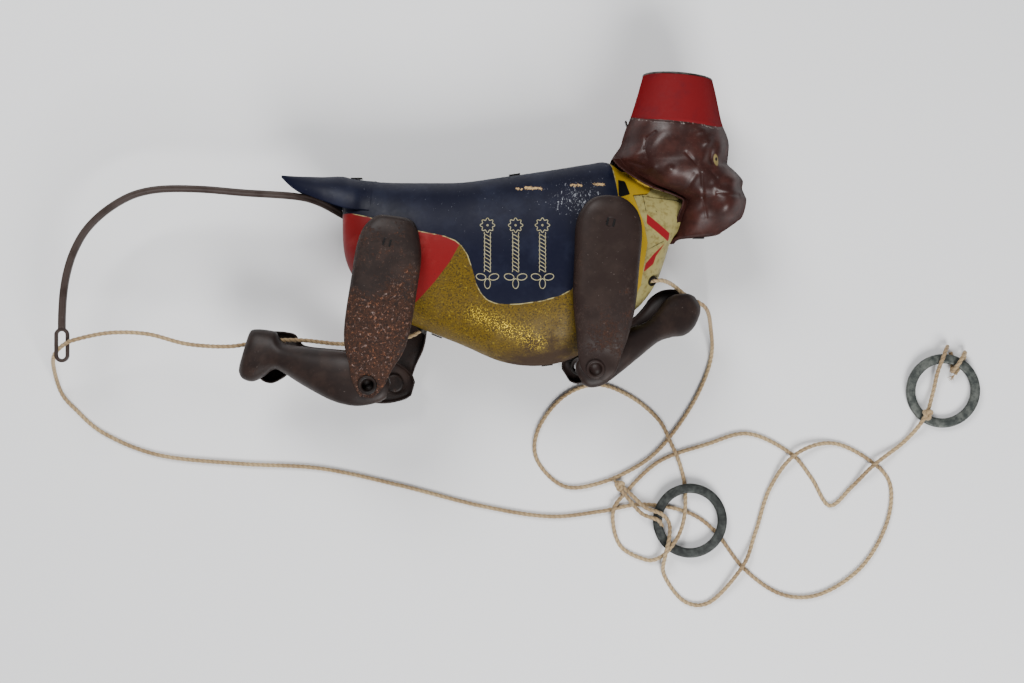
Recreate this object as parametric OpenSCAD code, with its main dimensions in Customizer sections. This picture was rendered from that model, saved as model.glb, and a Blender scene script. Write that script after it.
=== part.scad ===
// String-climbing tin monkey, lying on its side, head towards +X, back towards +Y.
// The far-side limbs rest on z = 0 and every joint axis runs along Z.

/* [Tin] */
// Thickness of the pressed tin
tin = 0.7; // [0.5:0.1:0.9]
// Height of the seam plane, where the two halves of the toy meet
mid = 28.5; // [28.5:0.1:29]

/* [Limbs] */
// Distance from the shoulder axle to an elbow
arm_len = 56.5; // [55:0.5:58]
// Distance from the hip axle to a knee
thigh_len = 55.2; // [54:0.2:57]
// Direction of the near upper arm
near_arm_dir = 264.3; // [262:0.1:268]
// Direction of the far upper arm
far_arm_dir = 260.1; // [258:0.1:264]
// Direction of the near forearm
near_forearm_dir = 30.6; // [28:0.1:33]
// Direction of the far forearm
far_forearm_dir = 32.5; // [28:0.1:34]
// Direction of the near thigh
near_thigh_dir = 261.9; // [259:0.1:265]
// Direction of the far thigh
far_thigh_dir = 269.2; // [265:0.1:271]
// Direction of the near shin
near_shin_dir = 163.5; // [160:0.1:168]
// Direction of the far shin
far_shin_dir = 163.8; // [160:0.1:168]

/* [Axles and eyelets] */
// Radius of the shoulder and hip axles
axle_r = 1.6; // [1.4:0.1:1.8]
// Radius of an elbow or knee eyelet's barrel
eyelet_r = 3; // [2.6:0.1:3.2]
// Radial clearance of anything that turns
run_gap = 0.06; // [0.04:0.01:0.09]

/* [Drum] */
// Radius of the string drum's flanges
drum_r = 11; // [9:0.5:11.5]
// Radius of the drum's axle
drum_axle_r = 1.5; // [1.2:0.1:1.8]

/* [Cords and rings] */
// Diameter of the string
cord_d = 1.8; // [1.6:0.1:1.8]
// Outer radius of a pull ring
ring_r = 15.4; // [15:0.1:15.6]
// Width of a pull ring's band
ring_band = 3.9; // [3.5:0.1:4]
// Thickness of a pull ring
ring_t = 2.4; // [2:0.1:2.4]

/* [Hidden] */

shoulder = [82.7, 3.6];
hip = [-2.7, -4.1];
drum = [80, -21.5];
near_elbow = shoulder + arm_len * [cos(near_arm_dir), sin(near_arm_dir)];
far_elbow = shoulder + arm_len * [cos(far_arm_dir), sin(far_arm_dir)];
near_knee = hip + thigh_len * [cos(near_thigh_dir), sin(near_thigh_dir)];
far_knee = hip + thigh_len * [cos(far_thigh_dir), sin(far_thigh_dir)];
arc_steps = 12;
frame_z = 11;
frame_t = 1;
bush_r = 2.4;

// Each pressing is a row of stations along its length: position, low edge, high edge,
// height of the rim above the seam plane, height of the crown above the seam plane.
torso_stations = [
    [-22.6, 0, 20, 0, 1.2], [-21.6, -8, 22.6, 0, 8], [-19, -15, 22.8, 0, 11.5], [-13, -24, 22, 0, 15],
    [-3, -31.5, 21.3, 0, 18], [9, -37, 21.2, 0, 19.3], [25, -43.4, 21.4, 0, 19.8],
    [40, -49.8, 23.4, 0, 20], [53, -51.8, 25.2, 0, 20], [65, -50.2, 27, 0, 19.6],
    [75, -45.4, 28.6, 0, 19], [83, -38.6, 29.2, 0, 18], [91, -31.8, 23.6, 0, 16.5],
    [97, -26.6, 19.8, 0, 14.5], [103, -17.4, 17.4, 0, 12], [108, -2.6, 15.6, 0, 9],
    [111, 5.5, 14.2, 0, 4.5], [112, 8, 13, 0, 1.2]];
jacket_stations = [
    [-47, 23.4, 24.4, 0, 1], [-42, 18.8, 24, 0, 5], [-37, 16.4, 23.8, 0, 8], [-30, 13.5, 23.6, 0, 11.5],
    [-23, 11, 23.8, 0, 14]];
head_stations = [
    [-3, 110.6, 113, 0, 1.4], [0, 112, 127, 0, 7.5], [2, 112.4, 131, 0, 10], [5, 113, 134.5, 0, 12],
    [9, 113.8, 137.5, 0, 13.5], [14, 114.6, 138.2, 0, 15], [16.2, 109.5, 137.8, 0, 16],
    [18.5, 102, 136.8, 0, 16.8], [22, 95.6, 136.5, 0, 17.6], [26, 89.8, 133, 0, 18.5],
    [28.5, 87, 131.5, 0, 19], [30.6, 85.4, 131.2, 0, 19.5], [35.8, 88.2, 130.6, 0, 20],
    [41.4, 90.4, 129.4, 0, 19.5], [46.2, 92.2, 128.6, 0, 18.3], [63.6, 97.2, 125.4, 0, 14.2]];
arm_stations = [
    [-10.5, -3, 3, 21.5, 25], [-9, -7.5, 6.5, 21.5, 26.6], [-5, -11, 10.5, 21.5, 27.9],
    [2, -13, 12.7, 21.5, 27.9], [15, -12.3, 13, 21.5, 27.9], [30, -11.3, 13, 21.5, 27.9],
    [42, -9, 11.5, 22.6, 27], [50, -7.5, 9.5, 23, 24.8], [56.5, -5.8, 8, 23, 24.6],
    [60.5, -2, 4.5, 23, 24]];
thigh_stations = [
    [-10.5, -4, 6, 21.5, 25], [-9, -7, 9, 21.5, 26.6], [-4, -10.5, 11.5, 21.5, 27.9],
    [4, -12, 13.4, 21.5, 27.9], [15, -12.2, 13.5, 21.5, 27.9], [30, -12.4, 13.2, 21.5, 27.9],
    [40, -11.4, 11.9, 22.6, 27], [48, -8.5, 8.5, 23, 24.8], [55.2, -6, 6, 23, 24.6],
    [60, -2.5, 2.5, 23, 24]];
forearm_stations = [
    [-7, -3, 3, 19, 21.4], [-5, -5.5, 5.5, 19, 22.4], [0, -7, 7, 19, 22.5], [8, -6.3, 7.5, 17.5, 22.5],
    [18, -5, 7, 13.5, 20.5], [27, -4, 5.3, 9, 16.5], [33, -5.3, 6.5, 5, 13], [38, -7.3, 8.5, 2.5, 10.5],
    [43, -6.6, 8.6, 1.6, 8.5], [47.5, -3.5, 6.5, 1.6, 6], [49.5, -1, 4, 1.6, 3]];
shin_stations = [
    [-8, -3, 3, 19, 21.4], [-5.5, -6, 5.5, 19, 22.4], [0, -8.5, 8.5, 19, 22.5], [6, -9.3, 10, 18, 22.5],
    [14, -9.3, 10, 15, 21.5], [26, -7.2, 8, 8, 17], [36, -5.5, 6, 3.5, 12], [39.5, -5.5, 7.5, 2, 10.5],
    [42, -7.2, 10.5, 1.6, 9.5], [46, -8, 13.5, 1.6, 9], [50, -7, 11.5, 1.6, 7.5], [51.5, -4, 8, 1.6, 3.5]];

// The tail's centreline and its eye
tail_path = [
    [-17, 6], [-22, 8.2], [-32, 13.5], [-41.8, 16], [-62, 17.4], [-78.6, 18.8], [-93, 19], [-103, 17.6],
    [-111, 14.4], [-119.4, 8.6], [-125.8, 1.8], [-130.2, -6.2], [-132.8, -14.2], [-134.2, -22.2],
    [-134.8, -30.6], [-134.9, -37]];
tail_w = 2.8;
tail_t = 3;
eye_low = [-134.9, -47.4];
eye_high = [-134.9, -39.4];
eye_r = 3;
eye_t = 2;

// The strings' routes, out of the eyelets and over the table
upper_route = [
    [98, -16, 36], [100, -18, 38.5], [104.5, -18, 36.5], [109, -19.5, 30.5], [115, -24, 28.5],
    [122.5, -28.5, 27], [126.5, -36.5, 12], [128, -49, 1.2], [122, -65, 0.9], [111.5, -81, 0.9],
    [100.5, -92, 0.9], [83.5, -100.5, 0.9], [67, -102.5, 0.9], [55.5, -91.5, 0.9], [56, -78.5, 0.9],
    [66.5, -65, 0.9], [80.5, -60, 0.9], [94.5, -65, 0.9], [106, -74.5, 1.5], [111, -84, 3],
    [114.5, -92, 2.6], [117, -101.5, 0.9], [117, -112.5, 2.9], [115, -121, 3.4], [111, -127, 5.6],
    [106.5, -132, 2.2], [100.5, -133, 0.9], [90, -127, 0.9], [87, -113.5, 2.9], [92.5, -105, 0.9],
    [106.5, -92, 0.9], [126, -85, 0.9], [143.5, -80.5, 0.9], [161, -88.5, 0.9], [170, -99, 0.9],
    [177.5, -110.5, 0.9], [187, -102.5, 1], [195.5, -93.5, 2.9], [209, -83.5, 1],
    [216.5, -73.5, 3.9], [220, -64.5, 2.4], [222, -55, 3.2], [224, -47.5, 6], [226.5, -44, 2]];
lower_route = [
    [12, -33, 28.5], [9, -37, 28.5], [4, -40, 28.5], [-6, -42, 28.3], [-23, -43, 28],
    [-39.5, -41.5, 28.3], [-54.5, -42, 28.5], [-68.5, -44, 27.5], [-85.5, -43, 25.5],
    [-101.5, -39, 25], [-116, -38.5, 26.5], [-128, -41, 30.8], [-134.5, -43.5, 28.5],
    [-139.5, -48, 24], [-142.5, -54, 13], [-142.5, -63.5, 2.6], [-137.5, -70, 0.9],
    [-125, -80.5, 0.9], [-102, -89.5, 0.9], [-68.5, -93, 0.9], [-35, -95, 0.9], [-2, -102, 0.9],
    [31.5, -110.5, 0.9], [60, -115, 0.9], [81.5, -113, 0.9], [99, -110, 0.9], [117.5, -113, 0.9],
    [129.5, -121, 0.9], [142, -137, 0.9], [157.5, -147.5, 0.9], [173.5, -147.5, 0.9],
    [190.5, -136.5, 0.9], [201, -119, 0.9], [203, -102.5, 0.9], [195.5, -92.5, 0.9],
    [179, -84.5, 0.9], [163, -89, 2.9], [152.5, -103.5, 0.9], [146.5, -122, 0.9],
    [141, -135.5, 2.9], [128, -150.5, 0.9], [117, -150.5, 0.9], [108.5, -139.5, 1],
    [108.5, -130.5, 6.3], [110, -124.5, 6], [110.5, -118, 2.8], [107, -113.5, 5.4],
    [100.5, -111, 4.2], [95, -106, 3], [91, -102.5, 2.4]];
upper_hitch_route = [
    [228, -46.5, 0.95], [229, -50.5, 1], [228, -54.5, 3], [230.5, -50.5, 6], [233.5, -46.5, 3],
    [233, -50.5, 0.95], [229.5, -55.5, 2.5]];
lower_hitch_route = [
    [90.5, -104, 2.6], [93.5, -107.5, 3], [99, -113.5, 4.2], [105.5, -116, 5.4], [107.5, -119, 3]];
upper_ring_at = [224.5, -62.5, 0];
upper_ring_tilt = 3.8;
lower_ring_at = [119, -116.5, 1.95];
route_steps = 2;

// ---- Shared shapes ----

function unit(v) = v / norm(v);

// Height of a dished section at angle a from one rim (0) to the other (180)
function dish(a, power) = pow(max(0, 1 - pow(abs(cos(a)), power)), 1 / power);

// One arc of a pressing: inset moves it inwards by the tin's thickness
function section(s, inset, power, last) =
    let (low = s[1] + inset, high = s[2] - inset, half = max(0.1, (high - low) / 2))
    let (centre = (low + high) / 2, rise = max(0.1, s[4] - s[3] - inset))
    [for (i = [0:arc_steps]) let (a = i * last / arc_steps)
        [s[0], centre + half * cos(a), s[3] + rise * dish(a, power)]];

function shifted(s, by) = [s[0] + by, s[1], s[2], s[3], s[4]];

// Stations of the inner wall: the two end ones step inwards along the length
function inner_row(rows) =
    [for (i = [0:len(rows) - 1])
        shifted(rows[i], i == 0 ? tin * 0.6 : i == len(rows) - 1 ? -tin * 0.6 : 0)];

// A dished pressing as one closed wall, its rim facing the seam plane
module pressing(rows, power = 2.4, last = 180) {
    n = arc_steps + 1;
    count = len(rows);
    inner = inner_row(rows);
    outer_points = [for (s = rows) each section(s, 0, power, last)];
    inner_points = [for (s = inner) each section(s, tin, power, last)];
    base = count * n;
    skin = [for (i = [0:count - 2], j = [0:arc_steps - 1]) let (a = i * n + j, b = a + n)
        each [[a, b, a + 1], [a + 1, b, b + 1]]];
    lining = [for (f = skin) [base + f[0], base + f[2], base + f[1]]];
    rims = [for (i = [0:count - 2], side = [0, 1])
        let (a = i * n + side * arc_steps, b = a + n)
        each (side == 0 ? [[a, base + a, b], [b, base + a, base + b]]
                        : [[a, b, base + a], [b, base + b, base + a]])];
    ends = [for (j = [0:arc_steps - 1], side = [0, 1])
        let (a = side * (count - 1) * n + j)
        each (side == 0 ? [[a, a + 1, base + a], [a + 1, base + a + 1, base + a]]
                        : [[a, base + a, a + 1], [a + 1, base + a, base + a + 1]])];
    polyhedron(points = concat(outer_points, inner_points),
               faces = concat(skin, lining, rims, ends), convexity = 6);
}

// Puts a shape drawn on the near side of the seam plane on the near or the far side
module on_side(side) {
    translate([0, 0, mid])
        mirror([0, 0, side == "near" ? 0 : 1])
            children();
}

module limb_frame(pivot, direction) {
    translate([pivot[0], pivot[1], 0])
        rotate([0, 0, direction])
            children();
}

module hole(at, r, z = 0, h = 60) {
    translate([at[0], at[1], z])
        cylinder(r = r, h = h, $fn = 32);
}

module tube(outer, inner, h) {
    difference() {
        cylinder(r = outer, h = h, $fn = 32);
        translate([0, 0, -1])
            cylinder(r = inner, h = h + 2, $fn = 32);
    }
}

// A smooth curve through the route's points
function curve_at(a, b, c, d, t) =
    0.5 * (2 * b + (c - a) * t + (2 * a - 5 * b + 4 * c - d) * t * t
           + (3 * b - a - 3 * c + d) * t * t * t);

function smooth_route(p, steps) =
    let (last = len(p) - 1)
    [for (i = [0:last - 1], k = [0:steps - 1])
        curve_at(p[max(0, i - 1)], p[i], p[i + 1], p[min(last, i + 2)], k / steps), p[last]];

function along(p, i) = unit(p[min(len(p) - 1, i + 1)] - p[max(0, i - 1)]);

// A round cord swept along a route
module cord(route, d, steps = route_steps, sides = 8) {
    p = [for (q = smooth_route(route, steps)) [q[0], q[1], max(q[2], d / 2)]];
    last = len(p) - 1;
    points = [for (i = [0:last])
        let (t = along(p, i), side = unit(cross([0, 0, 1], t)), up = cross(t, side))
        for (k = [0:sides - 1]) let (a = 360 * (k + 0.5) / sides)
            p[i] + d / 2 * (cos(a) * side + sin(a) * up)];
    wall = [for (i = [0:last - 1], k = [0:sides - 1])
        let (a = i * sides + k, b = i * sides + (k + 1) % sides)
        each [[a, a + sides, b], [b, a + sides, b + sides]]];
    start = [for (k = [0:sides - 1]) k];
    finish = [for (k = [sides - 1:-1:0]) last * sides + k];
    polyhedron(points = points, faces = concat(wall, [start, finish]), convexity = 10);
}

// ---- Torso and head ----

module body_shell(side) {
    difference() {
        on_side(side) pressing(torso_stations, 2.3);
        hole(shoulder, bush_r + run_gap);
        hole(hip, bush_r + run_gap);
        translate([-26, 1, mid - 1.7]) cube([10, 14, 3.4]);
        chest_bore(2.06);
        rear_bore(2.06);
    }
}

module body_shell_near() { color("midnightblue") body_shell("near"); }

module body_shell_far() { color("midnightblue") body_shell("far"); }

module jacket_tail(side) {
    on_side(side)
        pressing([for (s = jacket_stations) [s[0], 2 * s[1] - s[2], s[2], s[3] + 0.05, s[4]]], 2.2, 90);
}

module jacket_tail_near() { color("midnightblue") jacket_tail("near"); }

module jacket_tail_far() { color("midnightblue") jacket_tail("far"); }

// Stations run up the head, so the pressing is turned from X to Y
module head_shell(side) {
    on_side(side)
        mirror([1, -1, 0])
            pressing(head_stations, 2.2);
}

module head_shell_near() { color("saddlebrown") head_shell("near"); }

module head_shell_far() { color("saddlebrown") head_shell("far"); }

module fez_cap() {
    color("dimgray")
        translate([111.3, 63.75, mid])
            rotate([-90, 0, 0])
                cylinder(r = 14.1, h = 0.8, $fn = 48);
}

// A small tab bent over the seam, standing just proud of both halves
module seam_tab(at, direction) {
    translate([at[0], at[1], mid])
        rotate([0, 0, direction])
            translate([-2.2, 0.05, -1.6])
                cube([4.4, 0.5, 3.2]);
}

module body_tabs() {
    color("dimgray") {
        seam_tab([-17, 22.8], 0);
        seam_tab([46, 24.3], 8);
        seam_tab([15, -39.5], 158);
        seam_tab([59, -51.2], 187);
    }
}

module head_tabs() {
    color("dimgray") {
        seam_tab([91.3, 44], 108);
        seam_tab([129.6, 39], 281);
        seam_tab([119.5, -0.4], 180);
    }
}

// Short tongues that join the head to the neck on both sides
module neck_tabs() {
    color("dimgray")
        for (z = [-5, 5])
            translate([97.6, 18, mid + z - 0.5])
                rotate([0, 0, -33])
                    cube([7, 5, 1]);
}

// ---- Tail ----

function beside(p, i, off) = let (t = along(p, i)) p[i] + off * [-t[1], t[0]];

module tail() {
    p = smooth_route(tail_path, 2);
    outline = concat([for (i = [0:len(p) - 1]) beside(p, i, tail_w / 2)],
                     [for (i = [len(p) - 1:-1:0]) beside(p, i, -tail_w / 2)]);
    color("saddlebrown")
        difference() {
            union() {
                translate([0, 0, mid - tail_t / 2])
                    linear_extrude(height = tail_t) polygon(outline);
                translate([0, 0, mid - eye_t / 2])
                    linear_extrude(height = eye_t) {
                        translate(eye_low) circle(r = eye_r, $fn = 32);
                        translate(eye_high) circle(r = eye_r, $fn = 32);
                        translate([eye_low[0] - eye_r, eye_low[1]])
                            square([2 * eye_r, eye_high[1] - eye_low[1]]);
                    }
            }
            translate([eye_low[0] - 1.6, eye_low[1] + 0.6, 0]) cube([3.2, 6.8, 60]);
            hole([-19.5, 7.2], 0.9);
        }
}

module tail_rivet() {
    color("dimgray")
        translate([-19.5, 7.2, mid]) {
            translate([0, 0, -2.4]) cylinder(r = 0.85, h = 4.8, $fn = 24);
            translate([0, 0, 1.55]) cylinder(r = 1.7, h = 0.85, $fn = 24);
            translate([0, 0, -2.4]) cylinder(r = 1.7, h = 0.85, $fn = 24);
        }
}

// ---- String guides ----

module at_chest() {
    translate([99.8, -17.8, mid + 9.2]) rotate([0, 50, -45]) children();
}

module at_rear() {
    translate([9.6, -36.6, mid]) rotate([0, 90, 233]) children();
}

module chest_bore(r) {
    at_chest() translate([0, 0, -4]) cylinder(r = r, h = 9, $fn = 32);
}

module rear_bore(r) {
    at_rear() translate([0, 0, -4]) cylinder(r = r, h = 9, $fn = 32);
}

module chest_eyelet() {
    color("dimgray") at_chest() translate([0, 0, -2.2]) tube(2, 1.4, 3.6);
}

module rear_eyelet() {
    color("dimgray") at_rear() translate([0, 0, -2.2]) tube(2, 1.4, 4);
}

// ---- Inner frame and drum ----

module frame_plate(z) {
    color("darkgray")
        difference() {
            translate([0, 0, z])
                linear_extrude(height = frame_t)
                    polygon([[76, 8], [86, 9], [90, 2], [90, -10], [88, -22], [84, -27], [74, -28],
                             [70, -22], [70, -8], [73, 2]]);
            hole(shoulder, axle_r + run_gap);
            hole(drum, drum_axle_r + run_gap);
            for (at = post_places()) hole(at, 0.85);
        }
}

function post_places() = [[73.5, -5], [87, -5]];

module frame_near() { frame_plate(mid + frame_z); }

module frame_far() { frame_plate(mid - frame_z - frame_t); }

module frame_posts() {
    color("darkgray")
        for (at = post_places())
            translate([at[0], at[1], mid]) {
                translate([0, 0, -frame_z + 0.02]) cylinder(r = 1.6, h = 2 * frame_z - 0.04, $fn = 24);
                translate([0, 0, -frame_z - frame_t]) cylinder(r = 0.82, h = 2 * (frame_z + frame_t), $fn = 24);
            }
}

// Bushes where the two axles leave the torso, each with a flange on the outside
module axle_bushes() {
    color("darkgray")
        for (at = [shoulder, hip], side = ["near", "far"])
            on_side(side)
                translate([at[0], at[1], 0]) {
                    translate([0, 0, 15]) tube(bush_r, axle_r + run_gap, 11.8);
                    translate([0, 0, 18.4]) tube(4, axle_r + run_gap, 0.8);
                }
}

module drum_axle() {
    color("silver") hole(drum, drum_axle_r, mid - 14.5, 29);
}

drum_half = 6.5;
drum_profile = [[drum_axle_r + 0.02, -6.5], [11, -6.5], [11, -5.5], [8, -5.5], [8, -0.5], [11, -0.5],
                [11, 0.5], [5, 0.5], [5, 5.5], [11, 5.5], [11, 6.5], [drum_axle_r + 0.02, 6.5]];

module string_drum() {
    color("silver")
        translate([drum[0], drum[1], mid])
            scale(drum_r / 11)
                rotate_extrude($fn = 64) polygon(drum_profile);
}

// Turns of string on one part of the drum
module winding(core_r, z) {
    color("tan")
        translate([drum[0], drum[1], mid])
            rotate_extrude($fn = 48)
                for (k = [0:1])
                    translate([core_r + 0.95, z + 1.3 + 2.1 * k]) circle(r = cord_d / 2, $fn = 24);
}

module upper_winding() { winding(5, 0.5); }

module lower_winding() { winding(8, -5.5); }

// ---- Limbs ----

// Two tabs at the end of an axle, bent over the limb that it carries
module axle_tabs(at, direction) {
    for (side = ["near", "far"], x = [-1.9, 0.7])
        on_side(side)
            limb_frame(at, direction)
                translate([x, -1.5, 27.95])
                    cube([1.2, 3, 0.5]);
}

module axle(at, direction) {
    color("dimgray") {
        hole(at, axle_r, mid - 27.95, 55.9);
        axle_tabs(at, direction);
    }
}

module shoulder_axle() { axle(shoulder, near_arm_dir + 90); }

module hip_axle() { axle(hip, near_thigh_dir + 90); }

// An upper arm or thigh: a long dished plate with the axle's hole and the eyelet's hole
module upper_limb(rows, side, pivot, direction, joint) {
    color("saddlebrown")
        difference() {
            on_side(side) limb_frame(pivot, direction) pressing(rows, 3.4);
            hole(pivot, axle_r + run_gap);
            hole(joint, eyelet_r + run_gap);
        }
}

module near_upper_arm() { upper_limb(arm_stations, "near", shoulder, near_arm_dir, near_elbow); }

module far_upper_arm() { upper_limb(arm_stations, "far", shoulder, far_arm_dir, far_elbow); }

module near_thigh() { upper_limb(thigh_stations, "near", hip, near_thigh_dir, near_knee); }

module far_thigh() { upper_limb(thigh_stations, "far", hip, far_thigh_dir, far_knee); }

// A forearm or shin, which bends in towards the seam plane
module lower_limb(rows, side, pivot, direction) {
    color("saddlebrown")
        difference() {
            on_side(side) limb_frame(pivot, direction) pressing(rows, 2.6);
            hole(pivot, eyelet_r + run_gap);
        }
}

module near_forearm() { lower_limb(forearm_stations, "near", near_elbow, near_forearm_dir); }

module far_forearm() { lower_limb(forearm_stations, "far", far_elbow, far_forearm_dir); }

module near_shin() { lower_limb(shin_stations, "near", near_knee, near_shin_dir); }

module far_shin() { lower_limb(shin_stations, "far", far_knee, far_shin_dir); }

// A hollow eyelet that holds an elbow or knee together
module joint_eyelet(at, side) {
    color("dimgray")
        on_side(side)
            translate([at[0], at[1], 0]) {
                translate([0, 0, 20.2]) tube(eyelet_r, eyelet_r - 0.7, 5.25);
                translate([0, 0, 24.85]) tube(4.2, eyelet_r - 0.7, 0.6);
                translate([0, 0, 20.2]) tube(4.2, eyelet_r - 0.7, 0.7);
            }
}

module near_elbow_eyelet() { joint_eyelet(near_elbow, "near"); }

module far_elbow_eyelet() { joint_eyelet(far_elbow, "far"); }

module near_knee_eyelet() { joint_eyelet(near_knee, "near"); }

module far_knee_eyelet() { joint_eyelet(far_knee, "far"); }

// Close-wound coils inside an elbow
module elbow_spring(at, side) {
    color("dimgray")
        on_side(side)
            translate([at[0], at[1], 17])
                rotate_extrude($fn = 32)
                    for (k = [0:2])
                        translate([3.6, 1.02 * k]) circle(r = 0.5, $fn = 16);
}

module near_elbow_spring() { elbow_spring(near_elbow, "near"); }

module far_elbow_spring() { elbow_spring(far_elbow, "far"); }

// ---- Strings and rings ----

module upper_string() { color("tan") cord(upper_route, cord_d); }

module lower_string() { color("tan") cord(lower_route, cord_d); }

module upper_hitch() { color("tan") cord(upper_hitch_route, cord_d); }

module lower_hitch() {
    color("tan") {
        cord(lower_hitch_route, cord_d);
        translate([89.8, -102, 2.3]) sphere(r = 2.2, $fn = 32);
    }
}

module pull_ring(at, tilt) {
    color("slategray")
        translate(at)
            rotate([tilt, 0, 0])
                rotate_extrude($fn = 72)
                    polygon([[ring_r - ring_band, 0.5], [ring_r - ring_band + 0.5, 0], [ring_r - 0.5, 0],
                             [ring_r, 0.5], [ring_r, ring_t - 0.5], [ring_r - 0.5, ring_t],
                             [ring_r - ring_band + 0.5, ring_t], [ring_r - ring_band, ring_t - 0.5]]);
}

module upper_ring() {
    pull_ring(upper_ring_at + [0, 0, ring_r * sin(upper_ring_tilt)], upper_ring_tilt);
}

module lower_ring() { pull_ring(lower_ring_at, 0); }

body_shell_near();
body_shell_far();
jacket_tail_near();
jacket_tail_far();
head_shell_near();
head_shell_far();
fez_cap();
body_tabs();
head_tabs();
neck_tabs();
tail();
tail_rivet();
chest_eyelet();
rear_eyelet();
frame_near();
frame_far();
frame_posts();
axle_bushes();
drum_axle();
string_drum();
upper_winding();
lower_winding();
shoulder_axle();
near_upper_arm();
far_upper_arm();
near_elbow_eyelet();
far_elbow_eyelet();
near_elbow_spring();
far_elbow_spring();
near_forearm();
far_forearm();
hip_axle();
near_thigh();
far_thigh();
near_knee_eyelet();
far_knee_eyelet();
near_shin();
far_shin();
upper_string();
lower_string();
upper_hitch();
lower_hitch();
upper_ring();
lower_ring();
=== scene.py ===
"""A string-climbing tin monkey: printed tin shells, jointed limbs, a bent tail and two pull strings."""
import logging
import math
from dataclasses import dataclass, field
from enum import Enum
from typing import Callable, Dict, List, Optional, Sequence, Tuple

import bmesh
import bpy
from mathutils import Matrix, Vector, noise


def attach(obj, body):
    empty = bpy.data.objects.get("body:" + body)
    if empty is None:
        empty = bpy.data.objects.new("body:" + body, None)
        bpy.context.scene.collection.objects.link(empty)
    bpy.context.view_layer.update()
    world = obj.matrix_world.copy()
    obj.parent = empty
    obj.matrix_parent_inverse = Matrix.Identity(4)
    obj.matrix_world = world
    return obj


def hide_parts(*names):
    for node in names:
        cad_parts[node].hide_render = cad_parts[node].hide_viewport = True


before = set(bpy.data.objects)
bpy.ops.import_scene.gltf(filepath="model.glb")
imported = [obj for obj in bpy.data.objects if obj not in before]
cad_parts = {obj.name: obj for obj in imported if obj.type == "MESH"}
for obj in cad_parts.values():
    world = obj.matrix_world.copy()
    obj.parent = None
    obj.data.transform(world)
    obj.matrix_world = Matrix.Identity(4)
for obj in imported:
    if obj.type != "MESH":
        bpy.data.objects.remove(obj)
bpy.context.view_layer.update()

LOG = logging.getLogger("monkey")
MM = 0.001
SEAM = 28.5
TIN = 0.7
SHOULDER = (82.7, 3.6)
HIP = (-2.7, -4.1)
ARM_LEN = 56.5
THIGH_LEN = 55.2
CORD_D = 1.8
JOINT_HOLE = 3.06
AXLE_HOLE = 1.66
FRAY_SEED = 7

Row = Tuple[float, float, float, float, float]
Point2 = Tuple[float, float]
Colour = Tuple[float, float, float]


class Side(Enum):
    """The half of the toy above the seam plane, and the half below it."""

    NEAR = 1
    FAR = -1

    @property
    def word(self) -> str:
        """The side's name, as the nodes use it."""
        return self.name.lower()


# ---------------------------------------------------------------- shared geometry


def reach(pivot: Point2, length: float, degrees: float) -> Point2:
    """Finds the point at a distance and a direction from a pivot.

    Args:
        pivot: the start, in millimetres.
        length: how far away the point is.
        degrees: the direction, from +X towards +Y.

    Returns:
        The point.
    """
    a = math.radians(degrees)
    return (pivot[0] + length * math.cos(a), pivot[1] + length * math.sin(a))


def through(a: float, b: float, c: float, d: float, t: float) -> float:
    """Follows a smooth curve through four values, from b to c.

    Args:
        a, b, c, d: the values.
        t: how far along from b to c, from 0 to 1.

    Returns:
        The value there.
    """
    return 0.5 * (2 * b + (c - a) * t + (2 * a - 5 * b + 4 * c - d) * t * t
                  + (3 * b - a - 3 * c + d) * t ** 3)


def row_at(rows: Sequence[Sequence[float]], place: float) -> List[float]:
    """Interpolates a list of rows smoothly.

    Args:
        rows: equally long rows of numbers.
        place: a position along the list, from 0 to 1.

    Returns:
        One row.
    """
    last = len(rows) - 1
    i = min(int(place * last), last - 1)
    t = place * last - i
    four = [rows[min(max(k, 0), last)] for k in (i - 1, i, i + 1, i + 2)]
    return [through(*values, t) for values in zip(*four)]


def dish(angle: float, power: float) -> float:
    """Height of a dished section, from 0 at a rim to 1 at its crown.

    Args:
        angle: from 0 at one rim to pi at the other.
        power: 2 is an ellipse, and more is a flatter face with tighter edges.

    Returns:
        The height.
    """
    return max(0.0, 1 - abs(math.cos(angle)) ** power) ** (1 / power)


def finish_mesh(bm: bmesh.types.BMesh, name: str, smooth: bool = True) -> bpy.types.Object:
    """Turns a bmesh into an object whose place is in its mesh.

    Args:
        bm: the shape, in millimetres. It is freed.
        name: the piece's name.
        smooth: whether its faces are shaded smooth.

    Returns:
        The object, linked to the scene.
    """
    bmesh.ops.scale(bm, vec=Vector((MM, MM, MM)), verts=bm.verts)
    mesh = bpy.data.meshes.new(name)
    bm.to_mesh(mesh)
    bm.free()
    for face in mesh.polygons:
        face.use_smooth = smooth
    piece = bpy.data.objects.new(name, mesh)
    bpy.context.scene.collection.objects.link(piece)
    return piece


def round_lines(name: str, radius: float) -> bpy.types.Curve:
    """Starts an empty curve whose lines are round, with a radius in millimetres."""
    curve = bpy.data.curves.new(name, "CURVE")
    curve.dimensions = "3D"
    curve.bevel_depth = radius * MM
    curve.bevel_resolution = 1
    return curve


def curve_piece(curve: bpy.types.Curve, name: str) -> bpy.types.Object:
    """Turns a curve into a mesh object, linked to the scene."""
    holder = bpy.data.objects.new(name, curve)
    bpy.context.scene.collection.objects.link(holder)
    graph = bpy.context.evaluated_depsgraph_get()
    mesh = bpy.data.meshes.new_from_object(holder.evaluated_get(graph))
    bpy.data.objects.remove(holder)
    piece = bpy.data.objects.new(name, mesh)
    bpy.context.scene.collection.objects.link(piece)
    return piece


def dressed(piece: bpy.types.Object, finish: bpy.types.Material, body: str,
            node: Optional[str] = None) -> None:
    """Gives a piece its finish and tells the frame what it is.

    Args:
        piece: the piece.
        finish: its material.
        body: the body that it rides on.
        node: the node that it stands for, where it stands for one.
    """
    piece.data.materials.append(finish)
    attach(piece, body)
    if node:
        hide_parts(node)


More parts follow.
